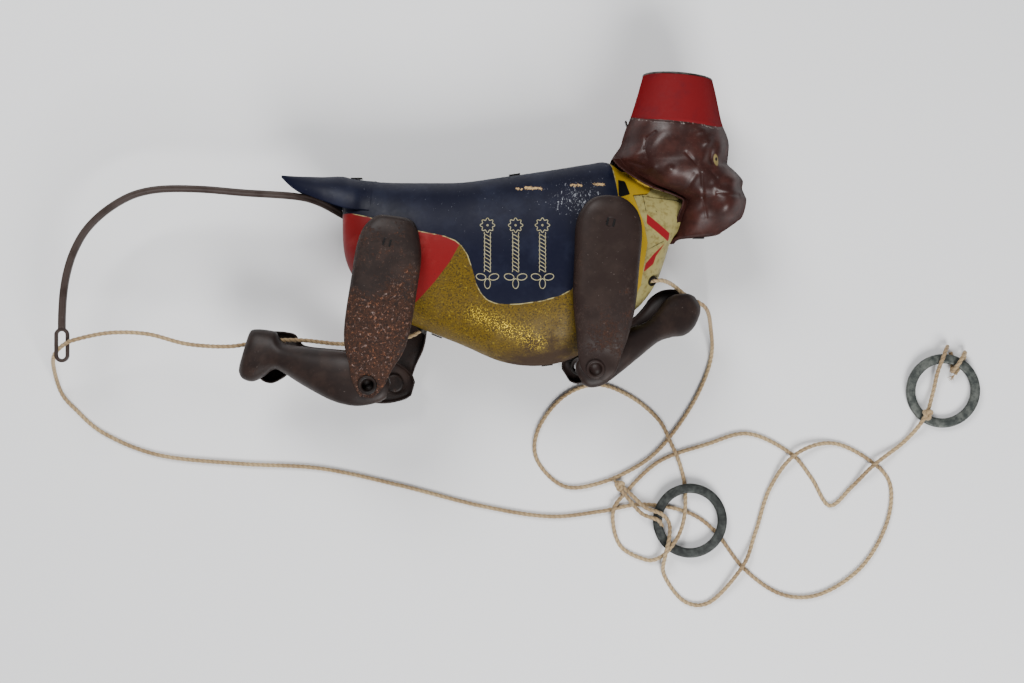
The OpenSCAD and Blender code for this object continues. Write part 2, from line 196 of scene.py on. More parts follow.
def unit(value: float) -> float:
    """Keeps a value between 0 and 1."""
    return max(0.0, min(1.0, value))


def apply_modifiers(piece: bpy.types.Object) -> None:
    """Bakes a piece's modifiers into its mesh."""
    graph = bpy.context.evaluated_depsgraph_get()
    mesh = bpy.data.meshes.new_from_object(piece.evaluated_get(graph))
    piece.modifiers.clear()
    piece.data = mesh


def solid_wall(piece: bpy.types.Object, thickness: float) -> None:
    """Gives an open sheet its thickness, inwards.

    Args:
        piece: the sheet.
        thickness: in millimetres.
    """
    wall = piece.modifiers.new("wall", "SOLIDIFY")
    wall.thickness = thickness * MM
    wall.offset = -1
    apply_modifiers(piece)


def drill(piece: bpy.types.Object, at: Point2, radius: float) -> None:
    """Cuts a round hole along Z through a piece.

    Args:
        piece: the piece, whose mesh is closed.
        at: the hole's place, in millimetres.
        radius: the hole's radius, in millimetres.
    """
    bm = bmesh.new()
    bmesh.ops.create_cone(bm, cap_ends=True, segments=40, radius1=radius, radius2=radius, depth=80,
                          matrix=Matrix.Translation((at[0], at[1], SEAM)))
    cutter = finish_mesh(bm, "cutter")
    cut = piece.modifiers.new("hole", "BOOLEAN")
    cut.operation = "DIFFERENCE"
    cut.object = cutter
    cut.solver = "EXACT"
    apply_modifiers(piece)
    bpy.data.objects.remove(cutter)


def spun(profile: Sequence[Point2], at: Sequence[float], name: str, steps: int = 64,
         tilt: float = 0.0, closed: bool = True) -> bpy.types.Object:
    """Spins a profile of (radius, height) points about an upright axis.

    Args:
        profile: the points, in order round the section.
        at: the middle of the turned piece, in millimetres.
        name: the piece's name.
        steps: how many steps a full turn takes.
        tilt: a lean about X, in degrees.
        closed: whether the profile is a loop, and otherwise it starts and ends on the axis.

    Returns:
        The piece.
    """
    bm = bmesh.new()
    ring = [bm.verts.new((r, 0, z)) for r, z in profile]
    for a, b in zip(ring, ring[1:] + (ring[:1] if closed else [])):
        bm.edges.new((a, b))
    bmesh.ops.spin(bm, geom=bm.verts[:] + bm.edges[:], cent=(0, 0, 0), axis=(0, 0, 1),
                   angle=math.tau, steps=steps, use_merge=True)
    bmesh.ops.remove_doubles(bm, verts=bm.verts, dist=1e-4)
    bmesh.ops.dissolve_degenerate(bm, edges=bm.edges, dist=1e-5)
    bmesh.ops.recalc_face_normals(bm, faces=bm.faces)
    bmesh.ops.rotate(bm, cent=(0, 0, 0), verts=bm.verts,
                     matrix=Matrix.Rotation(math.radians(tilt), 3, "X"))
    bmesh.ops.translate(bm, vec=Vector(at), verts=bm.verts)
    return finish_mesh(bm, name)


def rounded_section(inner: float, outer: float, low: float, high: float, r: float,
                    steps: int = 5) -> List[Point2]:
    """A rectangle of (radius, height) points with round corners.

    Args:
        inner, outer: its radii.
        low, high: its heights.
        r: the corners' radius.
        steps: points in each corner.

    Returns:
        The points in order.
    """
    corners = ((outer - r, high - r, 0), (inner + r, high - r, 90),
               (inner + r, low + r, 180), (outer - r, low + r, 270))
    return [(x + r * math.cos(math.radians(a + 90 * k / steps)),
             y + r * math.sin(math.radians(a + 90 * k / steps)))
            for x, y, a in corners for k in range(steps + 1)]


def swept(path: Sequence[Vector], section: Callable[[float, float], Tuple[float, float]],
          around: int, name: str, closed: bool = False, flat: bool = False) -> bpy.types.Object:
    """Sweeps a section along a path.

    Args:
        path: points in millimetres.
        section: gives the sideways and upward offsets at (length so far, turn from 0 to 1).
        around: how many points the section has.
        name: the piece's name.
        closed: whether the path joins up with itself.
        flat: whether the section stays upright, with no lean along a slope.

    Returns:
        The piece.
    """
    count = len(path)
    run = [0.0]
    for a, b in zip(path, path[1:]):
        run.append(run[-1] + (b - a).length)
    frames = []
    for i in range(count):
        ahead = path[(i + 1) % count] if closed else path[min(i + 1, count - 1)]
        behind = path[i - 1] if closed or i else path[0]
        t = (ahead - behind).normalized()
        side = Vector((0, 0, 1)).cross(t).normalized()
        frames.append((side, Vector((0, 0, 1)) if flat else t.cross(side)))
    bm = bmesh.new()
    rings = count if closed else count - 1
    bmesh.ops.create_grid(bm, x_segments=rings, y_segments=around, size=1)
    for v in bm.verts:
        i = round((v.co.x + 1) / 2 * rings)
        turn = (v.co.y + 1) / 2
        k = i % count
        across, up = section(run[k], turn % 1.0)
        v.co = path[k] + across * frames[k][0] + up * frames[k][1]
    bmesh.ops.remove_doubles(bm, verts=bm.verts, dist=1e-4)
    if not closed:
        bmesh.ops.holes_fill(bm, edges=[e for e in bm.edges if e.is_boundary], sides=0)
    bmesh.ops.recalc_face_normals(bm, faces=bm.faces)
    return finish_mesh(bm, name)


def smooth_path(points: Sequence[Sequence[float]], spacing: float) -> List[Vector]:
    """Runs a smooth curve through the points of a route.

    Args:
        points: the route, in millimetres.
        spacing: the wanted distance between the new points.

    Returns:
        Closely and evenly spaced points.
    """
    last = len(points) - 1
    fine: List[Vector] = []
    for i in range(last):
        four = [points[min(max(k, 0), last)] for k in (i - 1, i, i + 1, i + 2)]
        fine += [Vector([through(*values, k / 24) for values in zip(*four)]) for k in range(24)]
    fine.append(Vector(points[last]))
    even = [fine[0]]
    carried = 0.0
    for a, b in zip(fine, fine[1:]):
        step = (b - a).length
        while carried + step >= spacing and step > 1e-9:
            a = a.lerp(b, (spacing - carried) / step)
            even.append(a.copy())
            step = (b - a).length
            carried = 0.0
        carried += step
    if (even[-1] - fine[-1]).length > spacing * 0.3:
        even.append(fine[-1])
    return even


def edge_distance(x: float, y: float, a: Point2, b: Point2) -> float:
    """Distance from a point to a straight edge between a and b."""
    dx, dy = b[0] - a[0], b[1] - a[1]
    t = max(0.0, min(1.0, ((x - a[0]) * dx + (y - a[1]) * dy) / (dx * dx + dy * dy)))
    return math.hypot(x - a[0] - t * dx, y - a[1] - t * dy)


def inside_by(x: float, y: float, outline: Sequence[Point2]) -> float:
    """How far a point is inside an outline, and less than 0 outside it.

    Args:
        x, y: the point.
        outline: a closed outline.

    Returns:
        The signed distance.
    """
    sign = -1.0
    near = 1e9
    for a, b in zip(outline, list(outline[1:]) + [outline[0]]):
        near = min(near, edge_distance(x, y, a, b))
        if (a[1] > y) != (b[1] > y) and x < (b[0] - a[0]) * (y - a[1]) / (b[1] - a[1]) + a[0]:
            sign = -sign
    return sign * near


def store(piece: bpy.types.Object, name: str, values: Sequence[float]) -> None:
    """Stores one number at every point of a piece."""
    layer = piece.data.attributes.new(name, "FLOAT", "POINT")
    layer.data.foreach_set("value", values)


def mark_seam(piece: bpy.types.Object) -> None:
    """Stores how far each point is from the seam plane, in millimetres."""
    store(piece, "seam", [abs(v.co.z / MM - SEAM) for v in piece.data.vertices])


def paint(piece: bpy.types.Object, zones: Dict[str, Callable[[float, float], float]]) -> None:
    """Stores each printed zone's signed distance, in millimetres, at every point of a piece.

    Args:
        piece: the piece.
        zones: a function of x and y in millimetres for each zone's name.
    """
    for name, zone in zones.items():
        store(piece, name, [zone(v.co.x / MM, v.co.y / MM) for v in piece.data.vertices])


# ---------------------------------------------------------------- finishes


class Graph:
    """Builds one material's nodes, with short calls for the ones that repeat."""

    def __init__(self, name: str) -> None:
        """Starts a material with only a surface shader and its output."""
        self.material = bpy.data.materials.new(name)
        self.material.use_nodes = True
        self.tree = self.material.node_tree
        self.shader = self.tree.nodes["Principled BSDF"]
        self.where = self.node("ShaderNodeTexCoord").outputs["Object"]

    def node(self, kind: str, **settings: object) -> bpy.types.Node:
        """Adds a node and sets its properties."""
        made = self.tree.nodes.new(kind)
        for key, value in settings.items():
            setattr(made, key, value)
        return made

    def put(self, socket: bpy.types.NodeSocket, value: object) -> None:
        """Links an output to a socket, or sets the socket's own value."""
        if isinstance(value, bpy.types.NodeSocket):
            self.tree.links.new(value, socket)
        elif isinstance(value, tuple) and len(value) == 3:
            socket.default_value = (*value, 1.0) if socket.type == "RGBA" else value
        else:
            socket.default_value = value

    def math(self, operation: str, a: object, b: object = 0.0) -> object:
        """Adds one arithmetic node and returns its output."""
        made = self.node("ShaderNodeMath", operation=operation)
        self.put(made.inputs[0], a)
        self.put(made.inputs[1], b)
        return made.outputs[0]

    def add(self, a: object, b: object) -> object:
        """Adds two values."""
        return self.math("ADD", a, b)

    def times(self, a: object, b: object) -> object:
        """Multiplies two values."""
        return self.math("MULTIPLY", a, b)

    def span(self, value: object, low: float, high: float) -> object:
        """Maps a value smoothly from 0 at low to 1 at high."""
        made = self.node("ShaderNodeMapRange", interpolation_type="SMOOTHSTEP")
        self.put(made.inputs["Value"], value)
        made.inputs["From Min"].default_value = low
        made.inputs["From Max"].default_value = high
        return made.outputs["Result"]

    def mix(self, amount: object, a: object, b: object) -> object:
        """Mixes two colours."""
        made = self.node("ShaderNodeMix", data_type="RGBA")
        self.put(made.inputs["Factor"], amount)
        self.put(made.inputs["A"], a)
        self.put(made.inputs["B"], b)
        return made.outputs["Result"]

    def stretched(self, scale: Tuple[float, float, float], turn: float = 0.0) -> object:
        """Object coordinates, scaled along each axis and turned about Z in degrees."""
        made = self.node("ShaderNodeMapping")
        self.put(made.inputs["Vector"], self.where)
        made.inputs["Scale"].default_value = scale
        made.inputs["Rotation"].default_value = (0, 0, math.radians(turn))
        return made.outputs["Vector"]

    def noise(self, per_mm: float, detail: float = 3.0, rough: float = 0.6,
              where: object = None) -> object:
        """Adds a noise texture whose grains are per_mm to a millimetre."""
        made = self.node("ShaderNodeTexNoise")
        self.put(made.inputs["Vector"], self.where if where is None else where)
        made.inputs["Scale"].default_value = per_mm / MM
        made.inputs["Detail"].default_value = detail
        made.inputs["Roughness"].default_value = rough
        return made.outputs["Fac"]

    def patches(self, low: float, high: float, *grain: float) -> object:
        """Noise with soft-edged patches, from 0 at low to 1 at high."""
        return self.span(self.noise(*grain), low, high)

    def cracks(self, per_mm: float) -> object:
        """Adds a cell texture and returns the distance to the nearest crack."""
        made = self.node("ShaderNodeTexVoronoi", feature="DISTANCE_TO_EDGE")
        self.put(made.inputs["Vector"], self.where)
        made.inputs["Scale"].default_value = per_mm / MM
        return made.outputs["Distance"]

    def stored(self, name: str) -> object:
        """Reads a number stored on the piece."""
        return self.node("ShaderNodeAttribute", attribute_name=name).outputs["Fac"]

    def darken_near_seam(self, colour: object, seam_tone: Colour) -> object:
        """Darkens a colour within a millimetre of the seam plane, at the shells' rims."""
        return self.mix(self.times(self.span(self.stored("seam"), 0.9, 0.1), 0.85), colour, seam_tone)

    def bump(self, height: object, strength: float, depth_mm: float) -> None:
        """Gives the shader a bump from a height."""
        made = self.node("ShaderNodeBump")
        made.inputs["Strength"].default_value = strength
        made.inputs["Distance"].default_value = depth_mm * MM
        self.put(made.inputs["Height"], height)
        self.put(self.shader.inputs["Normal"], made.outputs["Normal"])

    def surface(self, colour: object, rough: object, metal: object = 0.0, shine: object = 0.35) -> None:
        """Sets the shader's main inputs."""
        self.put(self.shader.inputs["Specular IOR Level"], shine)
        self.put(self.shader.inputs["Base Color"], colour)
        self.put(self.shader.inputs["Roughness"], rough)
        self.put(self.shader.inputs["Metallic"], metal)


@dataclass(frozen=True)
class PrintedTin:
    """Lithographed tin with a jacket, a vest, trousers, a collar and a shirt front, all well worn."""

    navy: Colour = (0.0034, 0.0042, 0.014)
    gold: Colour = (0.105, 0.064, 0.004)
    red: Colour = (0.155, 0.006, 0.007)
    orange: Colour = (0.31, 0.195, 0.010)
    cream: Colour = (0.26, 0.225, 0.085)
    rust: Colour = (0.034, 0.020, 0.012)
    bare: Colour = (0.50, 0.33, 0.15)

    def build(self) -> bpy.types.Material:
        """Makes the material.

        Returns:
            The material, which reads the zones stored on the piece.
        """
        g = Graph("printed_tin")
        edge = 0.12
        zone = {n: g.span(g.stored(n), -edge, edge)
                for n in ("jacket", "trousers", "collar", "shirt", "band", "line", "gap_shadow")}
        speckle = g.noise(1.5, 2.0, 0.7)
        blotch = g.noise(0.16, 4.0)
        gold = g.mix(g.span(speckle, 0.46, 0.62), self.gold, (0.035, 0.022, 0.005))
        gold = g.mix(g.times(g.patches(0.45, 0.62, 0.55, 4.0, 0.7), 0.6), gold, (0.075, 0.046, 0.006))
        gold = g.mix(g.times(g.span(blotch, 0.46, 0.72), 0.7), gold, (0.080, 0.052, 0.012))
        gold = g.mix(g.times(g.patches(0.58, 0.68, 1.1, 4.0, 0.75), 0.8), gold,
                     (0.27, 0.19, 0.014))
        low = g.span(g.add(g.stored("belly"), g.times(blotch, 9.0)), 7.0, 2.2)
        gold = g.mix(low, gold, self.rust)
        crackle = g.span(g.add(g.cracks(0.9), g.times(speckle, 0.35)),
                         0.23, 0.15)
        shiny = g.times(crackle, g.span(g.stored("crackle"), -1.0, 5.0))
        gold = g.mix(shiny, gold, (0.80, 0.57, 0.05))
        red = g.mix(g.patches(0.5, 0.8, 0.12, 3.0), self.red, (0.20, 0.022, 0.020))
        red = g.mix(g.span(speckle, 0.58, 0.8), red, (0.085, 0.006, 0.006))
        colour = g.mix(zone["trousers"], gold, red)
        colour = g.mix(zone["collar"], colour, self.orange)
        cream = g.mix(g.patches(0.45, 0.7, 0.5, 4.0), self.cream, (0.17, 0.135, 0.045))
        colour = g.mix(zone["shirt"], colour, cream)
        colour = g.mix(zone["band"], colour, (0.20, 0.008, 0.012))
        colour = g.mix(zone["line"], colour, (0.02, 0.017, 0.012))
        navy = g.mix(g.patches(0.42, 0.75, 0.10, 4.0), self.navy, (0.009, 0.011, 0.025))
        wear = g.times(g.span(g.stored("wear"), -12.0, 12.0), 0.15)
        marks = g.span(g.add(wear, g.noise(0.9, 5.0, 0.75, g.stretched((1.0, 0.3, 1.0), 12.0))), 0.70, 0.74)
        fine = g.span(g.add(wear, g.noise(2.6, 3.0, 0.7, g.stretched((1.0, 0.14, 1.0), -28.0))), 0.76, 0.80)
        worn = g.math("MAXIMUM", marks, fine)
        navy = g.mix(worn, navy, (0.26, 0.27, 0.30))
        chip = g.span(g.add(g.stored("chip"), g.times(g.noise(0.7, 4.0, 0.75), 4.4)), 2.35, 2.5)
        navy = g.mix(chip, navy, self.bare)
        colour = g.mix(zone["jacket"], colour, navy)
        trim = g.math("SUBTRACT", 1.0, g.span(g.math("ABSOLUTE", g.add(g.stored("jacket"), 0.1)),
                                              0.10, 0.26))
        colour = g.mix(g.times(trim, g.patches(0.4, 0.6, 0.35, 2.0)), colour,
                       (0.30, 0.26, 0.12))
        # Darker within a millimetre of the seam plane.
        colour = g.darken_near_seam(colour, (0.02, 0.016, 0.012))
        # Painted shadow: the gap by the collar, under the head, is filled near black.
        colour = g.mix(zone["gap_shadow"], colour, (0.004, 0.004, 0.004))
        rough = g.add(0.36, g.times(g.noise(0.6, 4.0), 0.22))
        rough = g.add(rough, g.times(low, 0.3))
        metal = g.times(shiny, 0.8)
        open_face = g.add(0.05, g.times(g.span(g.stored("seam"), 1.0, 11.0), 0.08))
        g.surface(colour, rough, metal, shine=open_face)
        dents = g.add(g.times(g.noise(0.05, 2.0), 1.0),
                       g.times(g.math("MAXIMUM", g.times(low, speckle), shiny), 0.25))
        g.bump(dents, 0.35, 0.8)
        return g.material


@dataclass(frozen=True)
class HeadTin:
    """Glossy chocolate tin with a red cap printed over it."""

    brown: Colour = (0.021, 0.0062, 0.0048)
    red: Colour = (0.135, 0.0055, 0.0075)

    def build(self) -> bpy.types.Material:
        """Makes the material, which reads the cap's, eye's and mark's zones."""
        g = Graph("head_tin")
        mottle = g.noise(0.14, 4.0)
        brown = g.mix(g.span(mottle, 0.40, 0.70), self.brown, (0.040, 0.012, 0.009))
        grime = g.patches(0.60, 0.74, 1.6, 4.0, 0.7)
        brown = g.mix(g.times(grime, 0.5), brown, (0.11, 0.07, 0.055))
        red = g.mix(g.span(mottle, 0.45, 0.8), self.red, (0.105, 0.006, 0.009))
        red = g.mix(g.times(grime, 0.35), red, (0.10, 0.02, 0.02))
        cap = g.span(g.add(g.stored("cap"), g.times(g.noise(0.8, 2.0), 0.5)), 0.15, 0.40)
        colour = g.mix(cap, brown, red)
        rim = g.math("SUBTRACT", 1.0, g.span(g.math("ABSOLUTE", g.add(g.stored("cap"), 0.5)), 0.2, 0.8))
        chips = g.times(rim, g.patches(0.56, 0.66, 0.7, 3.0))
        colour = g.mix(chips, colour, (0.25, 0.22, 0.20))
        colour = g.mix(g.span(g.stored("eye"), -0.15, 0.15), colour, (0.17, 0.13, 0.05))
        colour = g.mix(g.span(g.stored("pupil"), -0.12, 0.12), colour, (0.012, 0.008, 0.007))
        scratch = g.span(g.noise(1.3, 4.0, 0.7, g.stretched((1.0, 0.15, 1.0), 40.0)), 0.70, 0.76)
        colour = g.mix(g.times(scratch, 0.6), colour, (0.20, 0.15, 0.13))
        # Darker within a millimetre of the seam plane.
        colour = g.darken_near_seam(colour, (0.010, 0.008, 0.007))
        rough = g.add(0.26, g.times(g.noise(0.7, 4.0), 0.24))
        rough = g.add(rough, g.times(cap, 0.34))
        open_face = g.add(0.10, g.times(g.span(g.stored("seam"), 4.0, 16.0), 0.90))
        rough = g.add(rough, g.times(g.math("SUBTRACT", 1.0, open_face), 0.35))
        shine = g.times(g.math("SUBTRACT", 0.26, g.times(cap, 0.14)), open_face)
        g.surface(colour, rough, shine=shine)
        g.bump(g.add(g.noise(0.07, 2.0), g.times(g.noise(0.5, 3.0), 0.06)), 0.35, 0.9)
        return g.material


@dataclass(frozen=True)
class WornTin:
    """Dark painted tin whose paint gives way to rust."""

    name: str
    paint: Colour = (0.0135, 0.0082, 0.0070)
    rust: float = 0.5
    speck: float = 0.5
    fall: float = 0.26

    def build(self) -> bpy.types.Material:
        """Makes the material, which reads how far down the limb each point is."""
        g = Graph(self.name)
        grain = g.noise(0.85, 5.0, 0.8)
        fine = g.noise(0.95, 5.0, 0.8)
        down = g.span(g.stored("down"), 3.0, 38.0)
        colour = g.mix(g.patches(0.4, 0.7, 0.12, 3.0), self.paint, (0.024, 0.0145, 0.0115))
        spread = g.add(g.times(g.noise(0.08, 3.0), 0.7), g.times(grain, 0.5))
        spread = g.add(spread, g.times(down, self.fall))
        rusty = g.span(spread, 1.02 - 0.45 * self.rust, 1.20 - 0.45 * self.rust)
        brown = g.mix(g.span(grain, 0.40, 0.62), (0.020, 0.0105, 0.0075), (0.050, 0.021, 0.012))
        colour = g.mix(g.times(rusty, 0.8), colour, brown)
        spots = g.times(g.span(fine, 0.56, 0.62), rusty)
        tint = g.mix(g.patches(0.4, 0.6, 0.5, 2.0), (0.24, 0.088, 0.038), (0.21, 0.145, 0.125))
        colour = g.mix(g.times(spots, self.speck), colour, tint)
        pits = g.times(g.patches(0.42, 0.30, 1.7, 4.0, 0.75), rusty)
        colour = g.mix(pits, colour, (0.007, 0.0045, 0.004))
        pale = g.patches(0.66, 0.72, 0.95, 4.0, 0.75)
        colour = g.mix(g.times(pale, 0.55), colour, (0.17, 0.14, 0.125))
        rough = g.add(0.42, g.times(rusty, 0.35))
        g.surface(colour, g.add(rough, g.times(fine, 0.12)), shine=0.18)
        relief = g.times(g.add(grain, g.times(fine, 0.6)), g.add(0.12, rusty))
        g.bump(g.add(relief, g.times(g.noise(0.05, 2.0), 1.0)), 0.6, 0.32)
        return g.material


@dataclass(frozen=True)
class OldMetal:
    """Bare metal dulled by age, with worn bright spots."""

    name: str
    dark: Colour = (0.035, 0.034, 0.032)
    light: Colour = (0.11, 0.115, 0.105)
    bright: Colour = (0.45, 0.45, 0.42)
    wear: float = 0.5
    metal: float = 0.4

    def build(self) -> bpy.types.Material:
        """Makes the material."""
        g = Graph(self.name)
        colour = g.mix(g.patches(0.36, 0.66, 0.35, 5.0, 0.7), self.dark, self.light)
        scuffs = g.span(g.noise(0.9, 5.0, 0.75, g.stretched((1.0, 0.5, 1.0), 35.0)), 0.66, 0.74)
        colour = g.mix(g.times(scuffs, self.wear), colour, self.bright)
        g.surface(colour, g.add(0.38, g.times(g.noise(0.8, 3.0), 0.3)), self.metal)
        g.bump(g.noise(1.4, 4.0), 0.3, 0.12)
        return g.material


@dataclass(frozen=True)
class TwistedString:
    """Tan twisted string, paler on its raised fibres, with painted shade in the grooves between its strands.
    """

    def build(self) -> bpy.types.Material:
        """Makes the material, which reads the groove depth stored on the piece and paints shade into the
        grooves.
        """
        g = Graph("string")
        tone = g.noise(0.05, 2.0)
        colour = g.mix(g.span(tone, 0.35, 0.65), (0.36, 0.255, 0.13), (0.22, 0.14, 0.065))
        fibre = g.noise(5.0, 3.0, 0.8)
        colour = g.mix(g.times(g.span(fibre, 0.45, 0.75), 0.6), colour, (0.58, 0.46, 0.28))
        # Painted shade: the deeper a point lies in the groove between the strands, the darker it is.
        groove = g.stored("groove")
        colour = g.mix(g.times(g.span(groove, 0.45, 1.0), 0.75), colour, (0.065, 0.038, 0.018))
        g.surface(colour, 0.82)
        g.shader.inputs["Sheen Weight"].default_value = 0.25
        g.bump(fibre, 0.6, 0.12)
        return g.material


@dataclass(frozen=True)
class PlainTable:
    """The pale table that the toy lies on."""

    tone: Colour = (0.78, 0.78, 0.785)

    def build(self) -> bpy.types.Material:
        """Makes the material."""
        g = Graph("table")
        g.surface(self.tone, 0.6)
        return g.material


# ---------------------------------------------------------------- stage


@dataclass
class Stage:
    """The camera straight above, the pale table and the soft light."""

    middle: Point2 = (45.0, -42.0)
    height: float = 650.0
    view_width: float = 409.6
    view_plane: float = 28.0

    def build(self) -> None:
        """Makes the camera, the table and the lights."""
        scene = bpy.context.scene
        camera = bpy.data.cameras.new("camera")
        camera.sensor_width = 36.0
        camera.lens = 36.0 * (self.height - self.view_plane) / self.view_width
        eye = bpy.data.objects.new("camera", camera)
        eye.location = (self.middle[0] * MM, self.middle[1] * MM, self.height * MM)
        scene.collection.objects.link(eye)
        scene.camera = eye
        bm = bmesh.new()
        bmesh.ops.create_grid(bm, x_segments=2, y_segments=2, size=4000)
        floor = finish_mesh(bm, "table")
        floor.data.materials.append(PlainTable().build())
        self.light("key", (330, -760, 760), 520, 17.0)
        self.light("fill", (-330, 640, 800), 520, 13.0)
        world = bpy.data.worlds.new("world")
        world.use_nodes = True
        world.node_tree.nodes["Background"].inputs["Color"].default_value = (0.93, 0.95, 1.0, 1)
        world.node_tree.nodes["Background"].inputs["Strength"].default_value = 0.30
        scene.world = world

    def light(self, name: str, at: Sequence[float], size: float, power: float) -> None:
        """Adds one soft square light that points at the toy.

        Args:
            name: the light's name.
            at: its place, in millimetres.
            size: its side, in millimetres.
            power: its power, in watts.
        """
        lamp = bpy.data.lights.new(name, "AREA")
        lamp.size = size * MM
        lamp.energy = power
        holder = bpy.data.objects.new(name, lamp)
        place = Vector(at) * MM
        target = Vector((self.middle[0] * MM, self.middle[1] * MM, 0))
        aim = (target - place).to_track_quat("-Z", "Y").to_matrix().to_4x4()
        holder.matrix_world = Matrix.Translation(place) @ aim
        bpy.context.scene.collection.objects.link(holder)


# ---------------------------------------------------------------- strings and rings


@dataclass
class Strings:
    """The two pull strings, their ends at the rings, and the rings."""

    upper_route: Sequence[Sequence[float]] = (
        (98, -16, 36), (100, -18, 38.5), (104.5, -18, 36.5), (109, -19.5, 30.5), (115, -24, 28.5),
        (122.5, -28.5, 27), (126.5, -36.5, 12), (128, -49, 1.2), (122, -65, 0.9), (111.5, -81, 0.9),
        (100.5, -92, 0.9), (83.5, -100.5, 0.9), (67, -102.5, 0.9), (55.5, -91.5, 0.9), (56, -78.5, 0.9),
        (66.5, -65, 0.9), (80.5, -60, 0.9), (94.5, -65, 0.9), (106, -74.5, 1.5), (111, -84, 3),
        (114.5, -92, 2.6), (117, -101.5, 0.9), (117, -112.5, 2.9), (115, -121, 3.4), (111, -127, 5.6),
        (106.5, -132, 2.2), (100.5, -133, 0.9), (90, -127, 0.9), (87, -113.5, 2.9), (92.5, -105, 0.9),
        (106.5, -92, 0.9), (126, -85, 0.9), (143.5, -80.5, 0.9), (161, -88.5, 0.9), (170, -99, 0.9),
        (177.5, -110.5, 0.9), (187, -102.5, 1), (195.5, -93.5, 2.9), (209, -83.5, 1),
        (216.5, -73.5, 3.9), (220, -64.5, 2.4), (222, -55, 3.2), (224, -47.5, 6), (226.5, -44, 2))
    lower_route: Sequence[Sequence[float]] = (
        (12, -33, 28.5), (9, -37, 28.5), (4, -40, 28.5), (-6, -42, 28.3), (-23, -43, 28),
        (-39.5, -41.5, 28.3), (-54.5, -42, 28.5), (-68.5, -44, 27.5), (-85.5, -43, 25.5),
        (-101.5, -39, 25), (-116, -38.5, 26.5), (-128, -41, 30.8), (-134.5, -43.5, 28.5),
        (-139.5, -48, 24), (-142.5, -54, 13), (-142.5, -63.5, 2.6), (-137.5, -70, 0.9),
        (-125, -80.5, 0.9), (-102, -89.5, 0.9), (-68.5, -93, 0.9), (-35, -95, 0.9), (-2, -102, 0.9),
        (31.5, -110.5, 0.9), (60, -115, 0.9), (81.5, -113, 0.9), (99, -110, 0.9), (117.5, -113, 0.9),
        (129.5, -121, 0.9), (142, -137, 0.9), (157.5, -147.5, 0.9), (173.5, -147.5, 0.9),
        (190.5, -136.5, 0.9), (201, -119, 0.9), (203, -102.5, 0.9), (195.5, -92.5, 0.9),
        (179, -84.5, 0.9), (163, -89, 2.9), (152.5, -103.5, 0.9), (146.5, -122, 0.9),
        (141, -135.5, 2.9), (128, -150.5, 0.9), (117, -150.5, 0.9), (108.5, -139.5, 1),
        (108.5, -130.5, 6.3), (110, -124.5, 6), (110.5, -118, 2.8), (107, -113.5, 5.4),
        (100.5, -111, 4.2), (95, -106, 3), (91, -102.5, 2.4))
    upper_hitch: Sequence[Sequence[float]] = (
        (228, -46.5, 0.95), (229, -50.5, 1), (228, -54.5, 3), (230.5, -50.5, 6), (233.5, -46.5, 3),
        (233, -50.5, 0.95), (229.5, -55.5, 2.5))
    lower_hitch: Sequence[Sequence[float]] = (
        (90.5, -104, 2.6), (93.5, -107.5, 3), (99, -113.5, 4.2), (105.5, -116, 5.4), (107.5, -119, 3))
    ring_radius: float = 15.4
    ring_band: float = 3.9
    ring_height: float = 2.4
    upper_ring_at: Tuple[float, float, float] = (224.5, -62.5, 0.0)
    upper_ring_tilt: float = 3.8
    lower_ring_at: Tuple[float, float, float] = (119.0, -116.5, 1.95)
    pitch: float = 4.2

    def twisted(self, route: Sequence[Sequence[float]], name: str) -> Tuple[bpy.types.Object, List[Vector]]:
        """Makes a string of two strands twisted together.

        Args:
            route: the points that it runs through, in millimetres.
            name: the piece's name.

        Returns:
            The piece and the path that it follows, in millimetres.
        """
        path = smooth_path(route, 0.45)
        for point in path:
            point.z = max(point.z, CORD_D / 2)
        around = 14

        def section(run: float, turn: float) -> Tuple[float, float]:
            """The string's outline at a length along it."""
            a = math.tau * turn
            twist = math.tau * run / self.pitch
            wave = 0.5 + 0.5 * math.cos(2 * (a - twist))
            loose = 0.035 * noise.noise(Vector((run * 0.9, 3.0 * math.cos(a), 3.0 * math.sin(a))))
            r = CORD_D / 2 * (0.76 + 0.24 * wave ** 0.6 + loose)
            return r * math.cos(a), r * math.sin(a)

        piece = swept(path, section, around, name)
        # How deep each point lies in the groove between the strands, which the string's material turns into
        # painted shade.
        groove_shade = []
        last = len(path) - 1
        nearest = 0
        for v in piece.data.vertices:
            at = v.co / MM
            for places in (range(max(0, nearest - 6), min(last, nearest + 6) + 1), range(last + 1)):
                nearest = min(places, key=lambda k: (path[k] - at).length_squared)
                r = (path[nearest] - at).length / (CORD_D / 2)
                if r <= 1.3:
                    break
            groove_shade.append(unit((1.0 - r) / 0.24))
        store(piece, "groove", groove_shade)
        return piece, path

    def frayed(self, at: Sequence[float], towards: Sequence[float], seed: float,
               name: str) -> bpy.types.Object:
        """Makes a few loose fibres at a string's cut end.

        Args:
            at: where they start.
            towards: the direction that they spread in.
            seed: varies the fibres.
            name: the piece's name.

        Returns:
            The piece.
        """
        curve = round_lines(name, 0.10)
        for k in range(12):
            spline = curve.splines.new("POLY")
            spline.points.add(4)
            lean = noise.noise_vector(Vector((seed, k * 1.7, 0.3)))
            for i, point in enumerate(spline.points):
                t = i / 4
                spot = Vector(at) + Vector(towards) * 2.6 * t + lean * 2.4 * t * t
                spot.z = max(0.15, spot.z - 1.2 * t * t)
                point.co = (*(spot * MM), 1.0)
        return curve_piece(curve, name)

